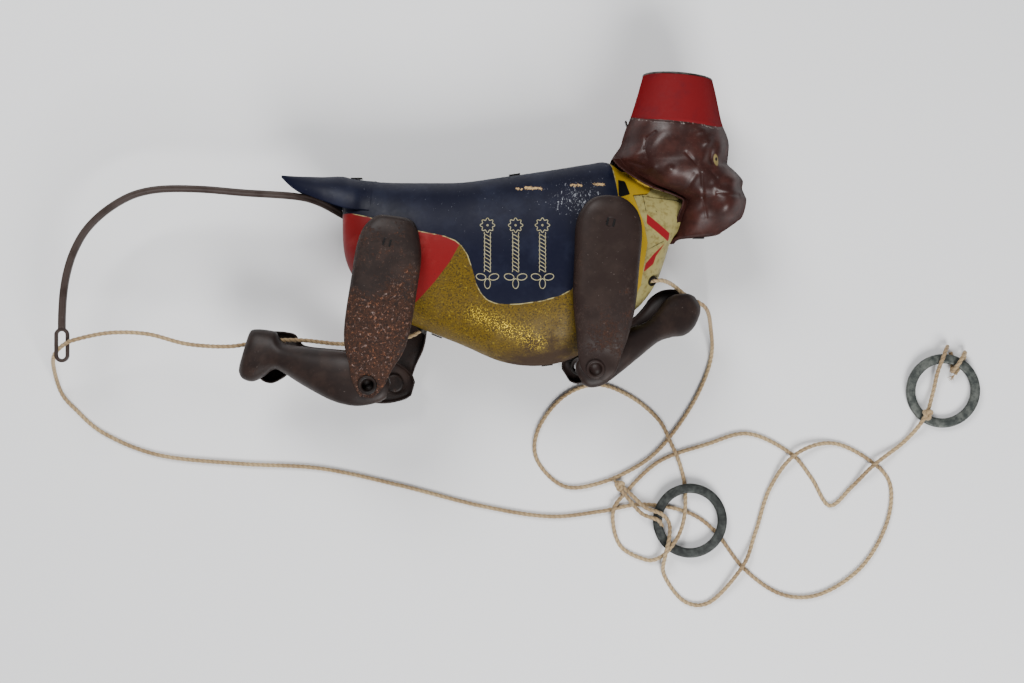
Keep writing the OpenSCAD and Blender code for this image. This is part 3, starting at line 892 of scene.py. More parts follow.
    def knot(self, at: Sequence[float], size: float, name: str) -> bpy.types.Object:
        """Makes an overhand knot as a tight trefoil of string.

        Args:
            at: its middle.
            size: its rough radius.
            name: the piece's name.

        Returns:
            The piece.
        """
        steps = 72
        path = []
        for k in range(steps):
            t = math.tau * k / steps
            x = (math.sin(t) + 2 * math.sin(2 * t)) / 3
            y = (math.cos(t) - 2 * math.cos(2 * t)) / 3
            path.append(Vector(at) + Vector((x, y, -0.42 * math.sin(3 * t))) * size)

        def section(run: float, turn: float) -> Tuple[float, float]:
            """The string's outline inside the knot."""
            a = math.tau * turn
            r = CORD_D / 2 * (0.84 + 0.16 * math.cos(2 * a - math.tau * run / self.pitch))
            return r * math.cos(a), r * math.sin(a)

        return swept(path, section, 12, name, closed=True)

    def ring(self, at: Sequence[float], tilt: float, name: str) -> bpy.types.Object:
        """Makes a pull ring with rounded edges."""
        lift = self.ring_radius * math.sin(math.radians(tilt))
        section = rounded_section(self.ring_radius - self.ring_band, self.ring_radius, 0.0,
                                  self.ring_height, 0.75)
        return spun(section, (at[0], at[1], at[2] + lift), name, 120, tilt)

    def build(self) -> None:
        """Makes, dresses and declares both strings and their rings."""
        noise.seed_set(FRAY_SEED)
        fibre = TwistedString().build()
        zinc_dark = OldMetal("zinc_dark", (0.012, 0.014, 0.013), (0.045, 0.050, 0.046),
                             (0.22, 0.23, 0.21), 0.7).build()
        zinc_light = OldMetal("zinc_light", (0.020, 0.025, 0.023), (0.085, 0.092, 0.082),
                              (0.34, 0.34, 0.30), 0.85).build()
        ends = {"upper": (self.upper_route, self.upper_hitch, (217.6, -72.2, 4.6), self.upper_ring_at,
                          self.upper_ring_tilt, zinc_light, (229.5, -55.5, 2.5), (-0.5, -0.8, 0.1)),
                "lower": (self.lower_route, self.lower_hitch, (89.8, -102.0, 2.5), self.lower_ring_at,
                          0.0, zinc_dark, (88.6, -100.8, 2.6), (-0.7, 0.5, 0.1))}
        for which, (route, hitch, tie, at, tilt, zinc, cut, towards) in ends.items():
            string, path = self.twisted(route, f"{which}_string_piece")
            bend, _ = self.twisted(hitch, f"{which}_hitch_piece")
            knot = self.knot(tie, 1.7, f"{which}_knot")
            fray = self.frayed(cut, towards, len(which) + at[0], f"{which}_fray")
            ring = self.ring(at, tilt, f"{which}_ring_piece")
            for piece in (string, bend, knot, fray):
                piece.data.materials.append(fibre)
            ring.data.materials.append(zinc)
            for piece in (string, bend, knot, fray, ring):
                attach(piece, "root")
            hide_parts(f"{which}_string")
            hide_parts(f"{which}_hitch")
            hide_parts(f"{which}_ring")


# ---------------------------------------------------------------- pressings


@dataclass
class Pressing:
    """One dished sheet of tin, described by stations along its length."""

    rows: Sequence[Row]
    power: float = 2.4
    last: float = 180.0
    along: int = 90
    across: int = 60
    upright: bool = False

    def spot(self, u: float, v: float) -> Vector:
        """A point on the sheet.

        Args:
            u: from 0 to 1 along the stations.
            v: from 0 to 1 round the section.

        Returns:
            The point above the seam plane, in the sheet's own frame.
        """
        at, low, high, rim, crown = row_at(self.rows, u)
        a = math.radians(self.last) * v
        across = (low + high) / 2 + (high - low) / 2 * math.cos(a)
        up = rim + (crown - rim) * dish(a, self.power)
        return Vector((across, at, up)) if self.upright else Vector((at, across, up))

    def sheet(self, side: Side, name: str, shape: Optional[Callable[[Vector], Vector]] = None,
              pivot: Point2 = (0.0, 0.0), turn: float = 0.0) -> bpy.types.Object:
        """Builds the sheet on one side of the toy.

        Args:
            side: near or far.
            name: the piece's name.
            shape: moves each point after it is laid out, for embossing.
            pivot: where the sheet's own frame stands.
            turn: how far that frame is turned about Z, in degrees.

        Returns:
            The piece, with its thickness.
        """
        bm = bmesh.new()
        bmesh.ops.create_grid(bm, x_segments=self.along, y_segments=self.across, size=1)
        for v in bm.verts:
            spot = self.spot((v.co.x + 1) / 2, (v.co.y + 1) / 2)
            v.co = shape(spot) if shape else spot
        bmesh.ops.rotate(bm, cent=(0, 0, 0), verts=bm.verts,
                         matrix=Matrix.Rotation(math.radians(turn), 3, "Z"))
        for v in bm.verts:
            v.co.z = SEAM + side.value * v.co.z
        bmesh.ops.translate(bm, vec=Vector((pivot[0], pivot[1], 0)), verts=bm.verts)
        bmesh.ops.recalc_face_normals(bm, faces=bm.faces)
        bm.faces.ensure_lookup_table()
        middle = bm.faces[len(bm.faces) // 2 + self.along // 2]
        if middle.normal.z * side.value < 0:
            bmesh.ops.reverse_faces(bm, faces=bm.faces)
        piece = finish_mesh(bm, name)
        solid_wall(piece, TIN)
        return piece


@dataclass
class Torso:
    """The printed body shells, the jacket's tail and everything fixed to them."""

    rows: Sequence[Row] = (
        (-22.6, 0, 20, 0, 1.2), (-21.6, -8, 22.6, 0, 8), (-19, -15, 22.8, 0, 11.5), (-13, -24, 22, 0, 15),
        (-3, -31.5, 21.3, 0, 18), (9, -37, 21.2, 0, 19.3), (25, -43.4, 21.4, 0, 19.8),
        (40, -49.8, 23.4, 0, 20), (53, -51.8, 25.2, 0, 20), (65, -50.2, 27, 0, 19.6),
        (75, -45.4, 28.6, 0, 19), (83, -38.6, 29.2, 0, 18), (91, -31.8, 23.6, 0, 16.5),
        (97, -26.6, 19.8, 0, 14.5), (103, -17.4, 17.4, 0, 12), (108, -2.6, 15.6, 0, 9),
        (111, 5.5, 14.2, 0, 4.5), (112, 8, 13, 0, 1.2))
    power: float = 2.3
    tail_rows: Sequence[Row] = (
        (-47, 23.4, 24.4, 0, 1), (-42, 18.8, 24, 0, 5), (-37, 16.4, 23.8, 0, 8), (-30, 13.5, 23.6, 0, 11.5),
        (-23, 11, 23.8, 0, 13.2), (-19, 10, 23, 0, 13.9), (-14, 9.4, 22.3, 0, 14.2), (-9, 8.8, 21.9, 0, 14.8))
    jacket: Sequence[Point2] = (
        (-60, 40), (-60, 8.2), (-18, 8.2), (-11, 6.6), (0, 3.2), (9.2, 0.8), (18.5, -1), (23, -2.8),
        (25.6, -5), (27.9, -8.6), (29.8, -14.4), (31.2, -19.6), (32.8, -23), (35.3, -25.8), (38.8, -27.2),
        (43, -27.6), (48, -27.4), (56.7, -26.2), (63.7, -24.2), (68, -21.9), (76, -12), (83, -2),
        (86, 8), (86.4, 15.3), (85.4, 21.7), (84.4, 27), (82, 33), (80, 40))
    trousers: Sequence[Point2] = (
        (-60, 30), (40, 10), (25.2, -3.6), (20.6, -11.6), (15, -18.9), (10.4, -23.9), (4, -30), (-4, -38),
        (-60, -40))
    collar: Sequence[Point2] = (
        (80, 40), (84.4, 27), (85.4, 21.7), (86.4, 15.3), (86, 8), (90, -14), (93.5, -24), (95.5, -24),
        (96.4, -13), (98, -3.5), (96.6, 4), (94.8, 9), (92.2, 15.4), (96.5, 16), (99.5, 16.4), (99, 21),
        (90, 36))
    shirt: Sequence[Point2] = (
        (96.6, 4), (94.8, 9), (92.6, 15), (98, 15.6), (100, 18), (116, 22), (120, 0), (104, -34),
        (90, -34), (93.5, -24), (95.5, -20), (96.4, -13), (98, -3.5))
    band: Sequence[Point2] = ((97.8, 7.9), (107, 0.6), (106.6, -2.8), (97.6, 4.2))
    thin_band: Sequence[Point2] = ((105.2, -3.2), (101.4, -8.6), (100.4, -11.6), (96.4, -15), (97.2, -11.6),
                                   (100.6, -7.6))
    black_lines: Sequence[Tuple[Point2, Point2]] = (
        ((97.0, -6.6), (104.6, -2.6)), ((101.3, 9.6), (101.9, 8.6)), ((97.6, 8.4), (96.4, 15)),
        ((93, 15.4), (111, 13.6)))
    # Outline of the near-black painted shadow in the gap by the collar, under the head.
    gap_shadow: Sequence[Point2] = ((86.6, 21.4), (89.4, 21.0), (91.2, 15.6), (86.6, 14.2))
    chips: Sequence[Tuple[Point2, Point2]] = (
        ((46.4, 18.0), (49.0, 17.6)), ((50.0, 18.2), (57.2, 17.8)), ((68.4, 19.0), (72.0, 19.2)),
        ((76.6, 19.6), (81.0, 19.2)))
    ornament_x: Sequence[float] = (35.5, 46.4, 56.8)

    def height(self, x: float, y: float) -> float:
        """Height of the shell above the seam plane at a place.

        Args:
            x, y: the place, in millimetres.

        Returns:
            The height, in millimetres.
        """
        low, high, crown = self.edges(x)
        if crown <= 0:
            return 0.0
        c = max(-1.0, min(1.0, (y - (low + high) / 2) / ((high - low) / 2)))
        return crown * dish(math.acos(c), self.power)

    def edges(self, x: float) -> Tuple[float, float, float]:
        """The shell's low edge, high edge and crown at a place along the body."""
        for a, b in zip(self.rows, self.rows[1:]):
            if a[0] <= x <= b[0]:
                t = (x - a[0]) / (b[0] - a[0])
                return tuple(a[k] + (b[k] - a[k]) * t for k in (1, 2, 4))
        return 0.0, 0.0, 0.0

    def collar_lift(self, at: Vector) -> Vector:
        """Keeps the collar high where it runs up into the head.

        Args:
            at: a point on the plain pressing.

        Returns:
            The point, raised and drawn out under the head.
        """
        low, high, crown = self.edges(min(at.x, 111.9))
        if at.x < 86 or crown <= 0:
            return at
        share = unit((at.y - (low + high) / 2) / max(1.0, (high - low) / 2))
        start = unit((at.x - 88) / 6)
        lift = start * share ** 2
        front = max(0.0, at.x - 104) / 8
        inner = unit((at.y + 3.5) / 5)
        height = max(at.z, 0.64 * lift * max(crown, 7), 5.5 * inner * min(1.0, front * 2))
        return Vector((at.x + 4.5 * front ** 2 * inner, at.y + 2.6 * lift, height))

    def flap_lift(self, at: Vector) -> Vector:
        """Lays the front of the jacket's tail on the body shell.

        Args:
            at: a point on the plain flap.

        Returns:
            The point, drawn down onto the shell towards its front.
        """
        blend = unit((at.x + 17) / 7)
        blend = blend * blend * (3 - 2 * blend)
        shell = self.height(max(at.x, -20), at.y) + 0.12 - 0.7 * max(0.0, at.x + 10)
        return Vector((at.x, at.y, at.z * (1 - blend) + shell * blend))

    def zones(self) -> Dict[str, Callable[[float, float], float]]:
        """The printed zones, the painted shadow in the gap by the collar, and the places where the print is
        worn.

        Returns:
            A function of x and y for each zone's name.
        """
        def inside(*outlines: Sequence[Point2]) -> Callable[[float, float], float]:
            """A zone that one or more outlines fill."""
            return lambda x, y: max(inside_by(x, y, outline) for outline in outlines)

        def strokes(edges: Sequence[Tuple[Point2, Point2]], half: float) -> Callable[[float, float], float]:
            """A zone of straight strokes with a half width."""
            return lambda x, y: max(half - edge_distance(x, y, a, b) for a, b in edges)

        return {
            "jacket": inside(self.jacket),
            "trousers": inside(self.trousers),
            "collar": inside(self.collar),
            "shirt": inside(self.shirt),
            "band": inside(self.band, self.thin_band),
            "line": strokes(self.black_lines, 0.16),
            "gap_shadow": inside(self.gap_shadow),
            "belly": lambda x, y: (y + 51.8) * 0.35 + abs(x - 60) * 0.12 - 3.5,
            "crackle": lambda x, y: 4.5 - edge_distance(x, y, (30, -31), (55, -42)),
            "wear": lambda x, y: max(-4 - abs(y - 14) * 0.3, 12 - math.hypot(x - 70, (y - 13) * 1.3) * 1.1),
            "chip": strokes(self.chips, 0.55),
        }

    def frogging(self, side: Side) -> bpy.types.Object:
        """Makes the three printed cord ornaments, standing just proud of the jacket.

        Args:
            side: near or far.

        Returns:
            The piece.
        """
        curve = round_lines("frogging", 0.19)

        def stroke(points: Sequence[Point2], closed: bool) -> None:
            """Adds one line that hugs the shell."""
            spline = curve.splines.new("POLY")
            spline.points.add(len(points) - 1)
            spline.use_cyclic_u = closed
            for (x, y), point in zip(points, spline.points):
                z = SEAM + side.value * (self.height(x, y) + 0.02)
                point.co = (x * MM, y * MM, z * MM, 1.0)

        def loop(cx: float, cy: float, rx: float, ry: float, turn: float) -> List[Point2]:
            """An oval loop of the trefoil."""
            c, s = math.cos(math.radians(turn)), math.sin(math.radians(turn))
            ring = [(rx * math.cos(math.tau * k / 20), ry * math.sin(math.tau * k / 20)) for k in range(20)]
            return [(cx + c * x - s * y, cy + s * x + c * y) for x, y in ring]

        for x in self.ornament_x:
            rosette = [(2.45 + 0.42 * math.cos(8 * math.tau * k / 64), math.tau * k / 64) for k in range(64)]
            stroke([(x + r * math.cos(a), 3.1 + r * math.sin(a)) for r, a in rosette], True)
            stroke([(x + 0.3 * math.cos(math.tau * k / 8), 3.1 + 0.3 * math.sin(math.tau * k / 8))
                    for k in range(8)], True)
            for sign in (-1, 1):
                stroke([(x + sign * (1.15 + 0.12 * math.sin(k * 1.9)), 0.4 - 0.5 * k)
                        for k in range(32)], False)
            for k in range(10):
                y = -0.4 - 1.5 * k
                stroke([(x - 1.1, y), (x, y - 0.55), (x + 1.1, y - 1.3)], False)
            stroke(loop(x - 2.5, -17.0, 1.9, 1.2, -12), True)
            stroke(loop(x + 2.5, -17.0, 1.9, 1.2, 12), True)
            stroke(loop(x, -19.6, 1.15, 1.9, 0), True)
        return curve_piece(curve, f"frogging_{side.word}")

    def build(self) -> None:
        """Makes and dresses the torso."""
        printed = PrintedTin().build()
        thread = Graph("frogging_print")
        thread.surface(thread.mix(thread.patches(0.45, 0.7, 1.2), (0.30, 0.275, 0.17),
                                  (0.19, 0.155, 0.06)), 0.5)
        zones = self.zones()
        body = Pressing(self.rows, self.power, along=220, across=150)
        skirt = [(at, 2 * low - high, high, rim + 0.05, crown)
                 for at, low, high, rim, crown in self.tail_rows]
        flap = Pressing(skirt, 2.2, 90.0, along=50, across=40)
        for side in Side:
            shell = body.sheet(side, f"body_{side.word}", self.collar_lift)
            tail = flap.sheet(side, f"jacket_tail_{side.word}_piece", self.flap_lift)
            for piece in (shell, tail):
                paint(piece, zones)
                mark_seam(piece)
            dressed(shell, printed, "root", f"body_shell_{side.word}")
            dressed(tail, printed, "root", f"jacket_tail_{side.word}")
            dressed(self.frogging(side), thread.material, "root")
            LOG.info("torso, %s side", side.word)


@dataclass
class Head:
    """The embossed head shells with the cap."""

    rows: Sequence[Row] = (
        (-3, 107.2, 109.6, 0, 2.4), (-1, 108, 113, 0, 6), (0.2, 108.8, 125.6, 0, 8.6),
        (2, 109.3, 129.4, 0, 10), (5.6, 110.3, 134.6, 0, 12), (8, 110.9, 137, 0, 13.3),
        (13.6, 112.6, 138.4, 0, 15), (16, 108.6, 137.8, 0, 16), (18.8, 100.4, 136.7, 0, 16.8),
        (22, 94.2, 136.9, 0, 17.6), (25.8, 88.4, 133.6, 0, 18.5), (28.2, 85.8, 131, 0, 19),
        (30.6, 84.8, 131, 0, 19.5), (35.8, 88.2, 131.4, 0, 20), (39.4, 89.3, 130.7, 0, 19.8),
        (43, 90.5, 129.2, 0, 19.2), (46.2, 91.9, 128.2, 0, 18.3), (52, 93.9, 127.2, 0, 17),
        (57.8, 95.6, 126.2, 0, 15.6), (63.6, 97.2, 125.0, 0, 14.2))
    bumps: Sequence[Tuple[float, float, float, float, float, float]] = (
        (129.4, 11.0, 5.6, 5.0, 20, 3.0), (130.6, 20.6, 4.4, 3.4, 20, 2.4), (121.2, 35.4, 2.4, 1.8, 30, 1.3),
        (118.8, 39.6, 2.8, 1.6, 10, 1.0), (126.6, 33.6, 2.6, 3.4, 0, 0.9), (116.6, 8.0, 4.2, 6.0, 0, 1.2),
        (123.6, 18.6, 2.2, 2.2, 0, 1.0), (118.6, 28.6, 1.7, 3.4, -35, 1.1), (124.6, 28.8, 1.7, 2.7, 12, 0.8),
        (122.6, 29.8, 1.6, 3.0, 10, -0.9), (92.4, 30.0, 4.6, 2.2, 35, 0.8), (93.6, 25.6, 3.4, 1.4, -30, 0.7),
        (99.6, 25.4, 1.5, 1.3, 0, 0.6), (106.4, 25.0, 1.5, 1.3, 0, 0.6), (112.6, 18.0, 5.0, 3.0, -20, -0.9))
    creases: Sequence[Tuple[Point2, Point2, float, float]] = (
        ((118.7, 23.4), (119.6, 14.0), 0.5, 0.5), ((119.6, 14.0), (121.1, 6.4), 0.5, 0.35),
        ((116.4, 23.0), (111.4, 14.6), 0.9, 0.6), ((125.0, 15.8), (133.6, 15.2), 0.8, 0.9),
        ((112.4, 31.2), (116.6, 26.8), 0.5, 0.6), ((90.6, 28.4), (96.0, 26.6), 0.5, 0.6),
        ((100.6, 39.4), (97.2, 37.2), 0.4, 0.6), ((97.2, 37.2), (96.4, 33.4), 0.4, 0.6),
        ((96.4, 33.4), (97.6, 29.2), 0.4, 0.5), ((122.2, 24.4), (124.4, 22.0), 0.6, 0.5))
    ear: Tuple[float, float, float] = (107.2, 30.6, 9.4)
    eye: Point2 = (124.6, 28.8)
    cap_at: Point2 = (111.1, 62.8)
    cap_lean: float = -4.9

    def emboss(self, at: Vector) -> Vector:
        """Raises and sinks the face's features.

        Args:
            at: a point on the plain pressing.

        Returns:
            The point, moved away from the seam plane or towards it.
        """
        x, y = at.x, at.y
        lift = 0.0
        for cx, cy, rx, ry, turn, h in self.bumps:
            c, s = math.cos(math.radians(turn)), math.sin(math.radians(turn))
            dx, dy = x - cx, y - cy
            q = ((c * dx + s * dy) / rx) ** 2 + ((c * dy - s * dx) / ry) ** 2
            lift += h * math.exp(-q)
        for a, b, width, depth in self.creases:
            lift -= 0.62 * depth * math.exp(-(edge_distance(x, y, a, b) / (width * 1.15)) ** 2)
        r = math.hypot(x - self.ear[0], y - self.ear[1])
        side = 0.5 - 0.5 * math.tanh((x - self.ear[0] + 1.5) / 4)
        lift += (0.45 + 0.45 * side) / (1 + math.exp((r - self.ear[2]) * 1.4))
        lift += 0.35 * noise.noise(Vector((x * 0.16, y * 0.16, 2.0)))
        row = row_at(self.rows, self.place(y))
        share = max(0.0, (row[1] + row[2] - 2 * x) / (row[2] - row[1]))
        neck = unit((32.3 - y) / 2.6) * share ** 2
        z = max(at.z, 0.70 * neck * row[4])
        cap_edge = y - self.cap_line(x)
        lift = lift * min(1.0, max(0.0, -cap_edge / 1.6)) * min(1.0, max(0.0, z / 5.0))
        lift += 0.25 / (1 + math.exp(-cap_edge * 5)) - 0.35 * math.exp(-(cap_edge / 0.5) ** 2)
        lean = 0.085 * (x - 97.2) * max(0.0, (y - 46.2) / 17.4)
        return Vector((x, y - lean, z + lift))

    def cap_top(self) -> None:
        """Makes the tarnished disc that closes the cap."""
        rim = OldMetal("cap_tin", (0.03, 0.03, 0.027), (0.10, 0.10, 0.09), (0.30, 0.28, 0.25), 0.4).build()
        profile = [(0, -0.5), (13.7, -0.5), (14.0, -0.2), (14.0, 0.35), (13.8, 0.55), (13.3, 0.5),
                   (12.6, 0.1), (0, 0.1)]
        piece = spun(profile, (0, 0, 0), "cap_top", 96, closed=False)
        piece.data.transform(Matrix.Translation(Vector((*self.cap_at, SEAM)) * MM)
                             @ Matrix.Rotation(math.radians(self.cap_lean), 4, "Z")
                             @ Matrix.Rotation(math.radians(-90), 4, "X"))
        dressed(piece, rim, "root", "fez_cap")

    def place(self, y: float) -> float:
        """Turns a height up the head into a position along its stations, from 0 to 1."""
        for k, (a, b) in enumerate(zip(self.rows, self.rows[1:])):
            if y <= b[0]:
                return max(0.0, k + (y - a[0]) / (b[0] - a[0])) / (len(self.rows) - 1)
        return 1.0

    def cap_line(self, x: float) -> float:
        """Height up the head of the cap's lower edge."""
        return 45.4 - (x - 91.6) * 0.11 + 2.4 * abs((x - 110.4) / 18.8) ** 8

    def build(self) -> None:
        """Makes and dresses the head and the cap's top."""
        skin = HeadTin().build()
        shell = Pressing(self.rows, 2.2, along=240, across=190, upright=True)
        ex, ey = self.eye
        zones = {
            "cap": lambda x, y: y - self.cap_line(x),
            "eye": lambda x, y: 1.0 - math.hypot((x - ex + 0.12 * (y - ey)) / 0.95, (y - ey) / 2.3),
            "pupil": lambda x, y: 0.42 - math.hypot((x - ex - 0.1) / 1.1, (y - ey - 0.4) / 1.7),
        }
        self.cap_top()
        for side in Side:
            piece = shell.sheet(side, f"head_{side.word}", self.emboss)
            paint(piece, zones)
            mark_seam(piece)
            dressed(piece, skin, "root", f"head_shell_{side.word}")
            LOG.info("head, %s side", side.word)


@dataclass
class Limbs:
    """The eight jointed limbs and the eyelets between them."""

    arm_rows: Sequence[Row] = (
        (-10.5, -3, 3, 21.5, 25), (-9, -7.5, 6.5, 21.5, 26.6), (-5, -11, 10.5, 21.5, 27.9),
        (2, -13, 12.7, 21.5, 27.9), (15, -12.3, 13, 21.5, 27.9), (30, -11.3, 13, 21.5, 27.9),
        (42, -9, 11.5, 22.6, 27), (50, -7.5, 9.5, 23, 24.8), (56.5, -5.8, 8, 23, 24.6),
        (60.5, -2, 4.5, 23, 24))
    thigh_rows: Sequence[Row] = (
        (-10.5, -4, 6, 21.5, 25), (-9, -7, 9, 21.5, 26.6), (-4, -10.5, 11.5, 21.5, 27.9),
        (4, -12, 13.4, 21.5, 27.9), (15, -12.2, 13.5, 21.5, 27.9), (30, -12.4, 13.2, 21.5, 27.9),
        (40, -11.4, 11.9, 22.6, 27), (48, -8.5, 8.5, 23, 24.8), (55.2, -6, 6, 23, 24.6),
        (60, -2.5, 2.5, 23, 24))
    forearm_rows: Sequence[Row] = (
        (-7, -3, 3, 19, 21.4), (-5, -5.5, 5.5, 19, 22.4), (0, -7, 7, 19, 22.5), (8, -6.3, 7.5, 17.5, 22.5),
        (18, -5, 7, 13.5, 20.5), (27, -4, 5.3, 9, 16.5), (33, -5.3, 6.5, 5, 13), (38, -7.3, 8.5, 2.5, 10.5),
        (43, -6.6, 8.6, 1.6, 8.5), (47.5, -3.5, 6.5, 1.6, 6), (49.5, -1, 4, 1.6, 3))
    shin_rows: Sequence[Row] = (
        (-8, -3, 3, 19, 21.4), (-5.5, -6, 5.5, 19, 22.4), (0, -8.5, 8.5, 19, 22.5), (6, -9.3, 10, 18, 22.5),
        (14, -9.3, 10, 15, 21.5), (26, -7.2, 8, 8, 17), (36, -5.5, 5.6, 3.5, 12), (39.5, -6, 6, 2, 10.5),
        (42.5, -8.6, 9.8, 1.6, 9.5), (46, -8.6, 12.8, 1.6, 9), (50, -7.8, 12.9, 1.6, 8),
        (52.2, -6.8, 11, 1.6, 6), (52.9, -5, 9, 1.6, 3.4))
    axle_radius: float = 1.62
    axle_length: float = 55.8
    slot_gap: float = 1.25
    slot_size: Tuple[float, float, float] = (0.7, 2.8, 0.34)
    flange: float = 3.55
    bore: float = 2.3
    arm_turns: Dict[str, Tuple[float, float]] = field(
        default_factory=lambda: {"near": (264.3, 30.6), "far": (260.1, 32.5)})
    leg_turns: Dict[str, Tuple[float, float]] = field(
        default_factory=lambda: {"near": (261.9, 163.5), "far": (269.2, 163.8)})

    def limb(self, rows: Sequence[Row], power: float, side: Side, node: str, body: str, pivot: Point2,
             turn: float, holes: Sequence[Tuple[Point2, float]], finish: bpy.types.Material) -> None:
        """Builds one limb and drills its holes.

        Args:
            rows: the limb's stations.
            power: how flat its face is.
            side: near or far.
            node: the node that it stands for.
            body: the body that it rides on.
            pivot: its upper joint.
            turn: its direction, in degrees.
            holes: each hole's place and radius.
            finish: its material.
        """
        piece = Pressing(rows, power, along=90, across=54).sheet(side, f"{node}_piece", None, pivot, turn)
        for at, radius in holes:
            drill(piece, at, radius)
        paint(piece, {"down": lambda x, y: math.hypot(x - pivot[0], y - pivot[1])})
        piece.data.materials.clear()
        for face in piece.data.polygons:
            face.use_smooth = True
        dressed(piece, finish, body, node)
        LOG.info("%s", node)

    def axle(self, at: Point2, turn: float, node: str, body: str, finish: bpy.types.Material,
             dark: bpy.types.Material) -> None:
        """Builds an axle whose ends fill the limbs' slots, with painted shadow in the slots beside its tabs.

        Args:
            at: its place.
            turn: the direction of the near limb, in degrees.
            node: the node that it stands for.
            body: the body that it rides on.
            finish: the axle's material.
            dark: the near-black painted shadow in the slots beside its tabs.
        """
        bm = bmesh.new()
        bmesh.ops.create_cone(bm, cap_ends=True, segments=40, radius1=self.axle_radius,
                              radius2=self.axle_radius, depth=self.axle_length,
                              matrix=Matrix.Translation((at[0], at[1], SEAM)))
        # Near-black blocks beside each tab are painted shadow in the open slots.
        for side in Side:
            for across in (-self.slot_gap, self.slot_gap):
                place = (Matrix.Translation((at[0], at[1], SEAM + side.value * self.axle_length / 2))
                         @ Matrix.Rotation(math.radians(turn + 82), 4, "Z")
                         @ Matrix.Translation((across, 0, 0)) @ Matrix.Diagonal((*self.slot_size, 1)))
                made = bmesh.ops.create_cube(bm, size=1, matrix=place)
                for face in {f for v in made["verts"] for f in v.link_faces}:
                    face.material_index = 1
        piece = finish_mesh(bm, f"{node}_piece", smooth=False)
        piece.data.materials.append(finish)
        piece.data.materials.append(dark)
        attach(piece, body)
        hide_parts(node)

    def eyelet(self, at: Point2, side: Side, node: str, body: str, finish: bpy.types.Material) -> None:
        """Builds one eyelet with rolled flanges. Only the far elbow's is open right through."""
        edge, bore = self.flange, self.bore
        profile = [(bore, 20.4), (2.9, 20.2), (edge, 20.3), (edge + 0.15, 20.6), (edge - 0.1, 20.85),
                   (2.95, 20.9), (2.95, 24.7), (edge - 0.1, 24.75), (edge + 0.15, 25.0),
                   (edge, 25.3), (3.2, 25.55), (2.6, 25.4), (bore, 25.0)]
        floor = {"far_elbow_eyelet": None, "near_elbow_eyelet": 23.9}.get(node, 21.4)
        if floor:
            profile = [(0, 20.2)] + profile[1:] + [(bore, floor), (0, floor)]
        piece = spun([(r, side.value * h) for r, h in profile], (at[0], at[1], SEAM), f"{node}_piece", 48,
                     closed=not floor)
        paint(piece, {"down": lambda x, y: 20.0})
        dressed(piece, finish, body, node)

    def build(self) -> None:
        """Makes and dresses the arms and the legs."""
        rusty = WornTin("rusty_tin", rust=0.92, speck=0.75, fall=0.24).build()
        brown = WornTin("brown_tin", (0.016, 0.0088, 0.0072), rust=0.72, speck=0.3, fall=0.08).build()
        plain = WornTin("plain_tin", rust=0.10, speck=0.15).build()
        slot_shadow_tin = OldMetal("slot_shadow", (0.001, 0.001, 0.001), (0.004, 0.003, 0.003),
                         (0.02, 0.016, 0.013), 0.2).build()
        steel = WornTin("eyelet_tin", (0.0045, 0.0032, 0.003), rust=0.5, speck=0.35).build()
        self.axle(SHOULDER, self.arm_turns["near"][0], "shoulder_axle", "near_arm", brown, slot_shadow_tin)
        self.axle(HIP, self.leg_turns["near"][0], "hip_axle", "near_leg", plain, slot_shadow_tin)
        for side in Side:
            w = side.word
            thigh_tin = rusty if side is Side.NEAR else plain
            upper, lower = self.arm_turns[w]
            elbow = reach(SHOULDER, ARM_LEN, upper)
            self.limb(self.arm_rows, 3.4, side, f"{w}_upper_arm", f"{w}_arm", SHOULDER, upper,
                      ((elbow, JOINT_HOLE), (SHOULDER, AXLE_HOLE)), brown)
            self.limb(self.forearm_rows, 2.6, side, f"{w}_forearm", f"{w}_forearm", elbow, lower,
                      ((elbow, JOINT_HOLE),), plain)
            self.eyelet(elbow, side, f"{w}_elbow_eyelet", f"{w}_arm", brown)
            upper, lower = self.leg_turns[w]
            knee = reach(HIP, THIGH_LEN, upper)
            self.limb(self.thigh_rows, 3.4, side, f"{w}_thigh", f"{w}_leg", HIP, upper,
                      ((knee, JOINT_HOLE), (HIP, AXLE_HOLE)), thigh_tin)
            self.limb(self.shin_rows, 2.6, side, f"{w}_shin", f"{w}_shin", knee, lower,
                      ((knee, JOINT_HOLE),), plain)
            self.eyelet(knee, side, f"{w}_knee_eyelet", f"{w}_leg", steel)


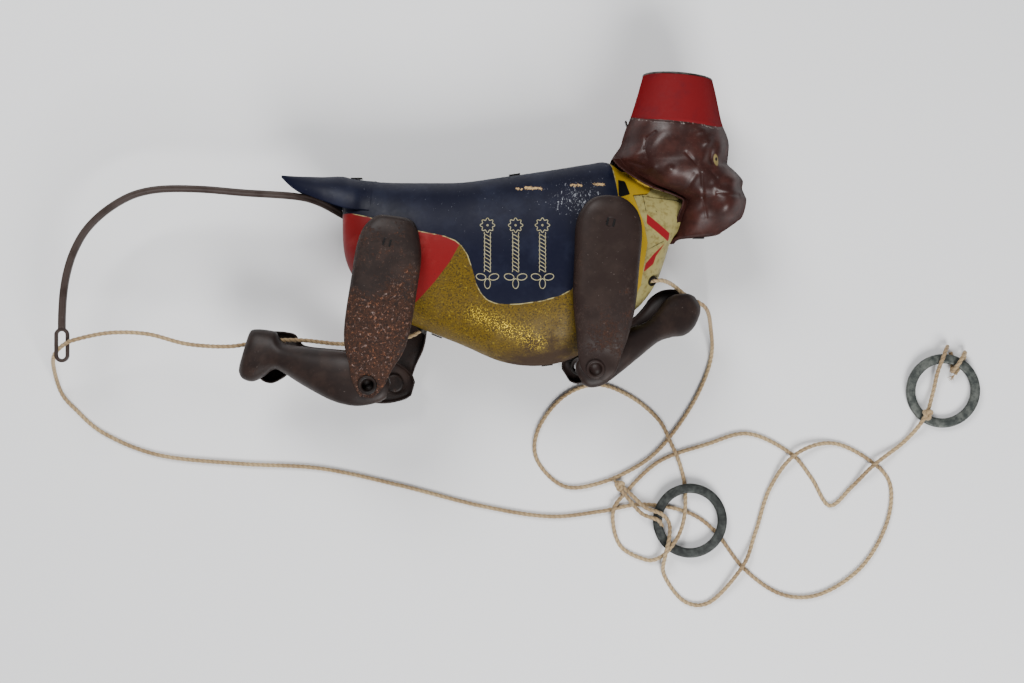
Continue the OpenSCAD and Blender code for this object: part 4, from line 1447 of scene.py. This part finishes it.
@dataclass
class Tail:
    """The bent strip tail and its eye."""

    route: Sequence[Point2] = (
        (-17, 6), (-22, 8.2), (-32, 13.5), (-41.8, 16), (-62, 17.4), (-78.6, 18.8), (-93, 19), (-103, 17.6),
        (-111, 14.4), (-119.4, 8.6), (-125.8, 1.8), (-130.2, -6.2), (-132.8, -14.2), (-134.2, -22.2),
        (-134.8, -30.6), (-134.9, -37))
    width: float = 2.8
    height: float = 3.0
    eye_low: Point2 = (-134.9, -47.4)
    eye_high: Point2 = (-134.9, -39.4)
    eye_radius: float = 2.25

    def build(self) -> None:
        """Makes and dresses the tail."""
        steel = WornTin("tail_steel", (0.040, 0.028, 0.024), rust=0.35, speck=0.4).build()
        path = smooth_path([(x, y, SEAM) for x, y in self.route], 1.0)
        half_w, half_h = self.width / 2, self.height / 2

        def section(run: float, turn: float) -> Tuple[float, float]:
            """A rounded strip, folded along its length so that a groove shows on each face."""
            a = math.tau * turn
            c, s = math.cos(a), math.sin(a)
            k = (abs(c) ** 5 + abs(s) ** 5) ** -0.2
            groove = 0.16 * math.exp(-((c * k) / 0.22) ** 2)
            return half_w * c * k, half_h * (s * k) * (1 - groove)

        strip = swept(path, section, 24, "tail_strip", flat=True)
        loop = []
        for (cx, cy), start in ((self.eye_high, 0), (self.eye_low, 180)):
            for k in range(15):
                a = math.radians(start + 12.86 * k)
                loop.append((cx + self.eye_radius * math.cos(a), cy + self.eye_radius * math.sin(a), SEAM))
        fine = smooth_path(loop + loop[:1], 0.4)[:-1]

        def band(run: float, turn: float) -> Tuple[float, float]:
            """The flattened band of the eye."""
            a = math.tau * turn
            c, s = math.cos(a), math.sin(a)
            k = (abs(c) ** 4 + abs(s) ** 4) ** -0.25
            return 0.72 * c * k, 0.98 * s * k

        eye = swept(fine, band, 16, "tail_eye", closed=True)
        dressed(strip, steel, "root", "tail")
        dressed(eye, steel, "root")
        LOG.info("tail")


@dataclass
class Works:
    """The pieces that keep their solids: tabs, axles, frame and drum."""

    steel_nodes: Sequence[str] = (
        "body_tabs", "head_tabs", "neck_tabs", "tail_rivet", "chest_eyelet", "rear_eyelet", "axle_bushes",
        "near_elbow_spring", "far_elbow_spring")
    bright_nodes: Sequence[str] = ("frame_near", "frame_far", "frame_posts", "drum_axle", "string_drum")
    string_nodes: Sequence[str] = ("upper_winding", "lower_winding")

    def dress(self, names: Sequence[str], finish: bpy.types.Material) -> None:
        """Gives nodes that keep their shape a finish."""
        for name in names:
            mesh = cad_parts[name].data
            mesh.materials.clear()
            mesh.materials.append(finish)
            LOG.info("%s", name)

    def build(self) -> None:
        """Dresses all of them."""
        dark = OldMetal("dark_steel", (0.006, 0.005, 0.0045), (0.02, 0.016, 0.014),
                        (0.12, 0.10, 0.085), 0.35).build()
        bright = OldMetal("bright_tin", (0.24, 0.24, 0.23), (0.45, 0.45, 0.44), (0.7, 0.7, 0.68), 0.4).build()
        self.dress(self.steel_nodes, dark)
        self.dress(self.bright_nodes, bright)
        self.dress(self.string_nodes, TwistedString().build())


def main() -> None:
    """Builds the whole toy, camera and strings first."""
    logging.basicConfig(level=logging.INFO, format="%(message)s")
    for part in (Stage(), Strings(), Torso(), Head(), Limbs(), Tail(), Works()):
        LOG.info("building %s", type(part).__name__)
        part.build()


if __name__ == "__main__":
    main()
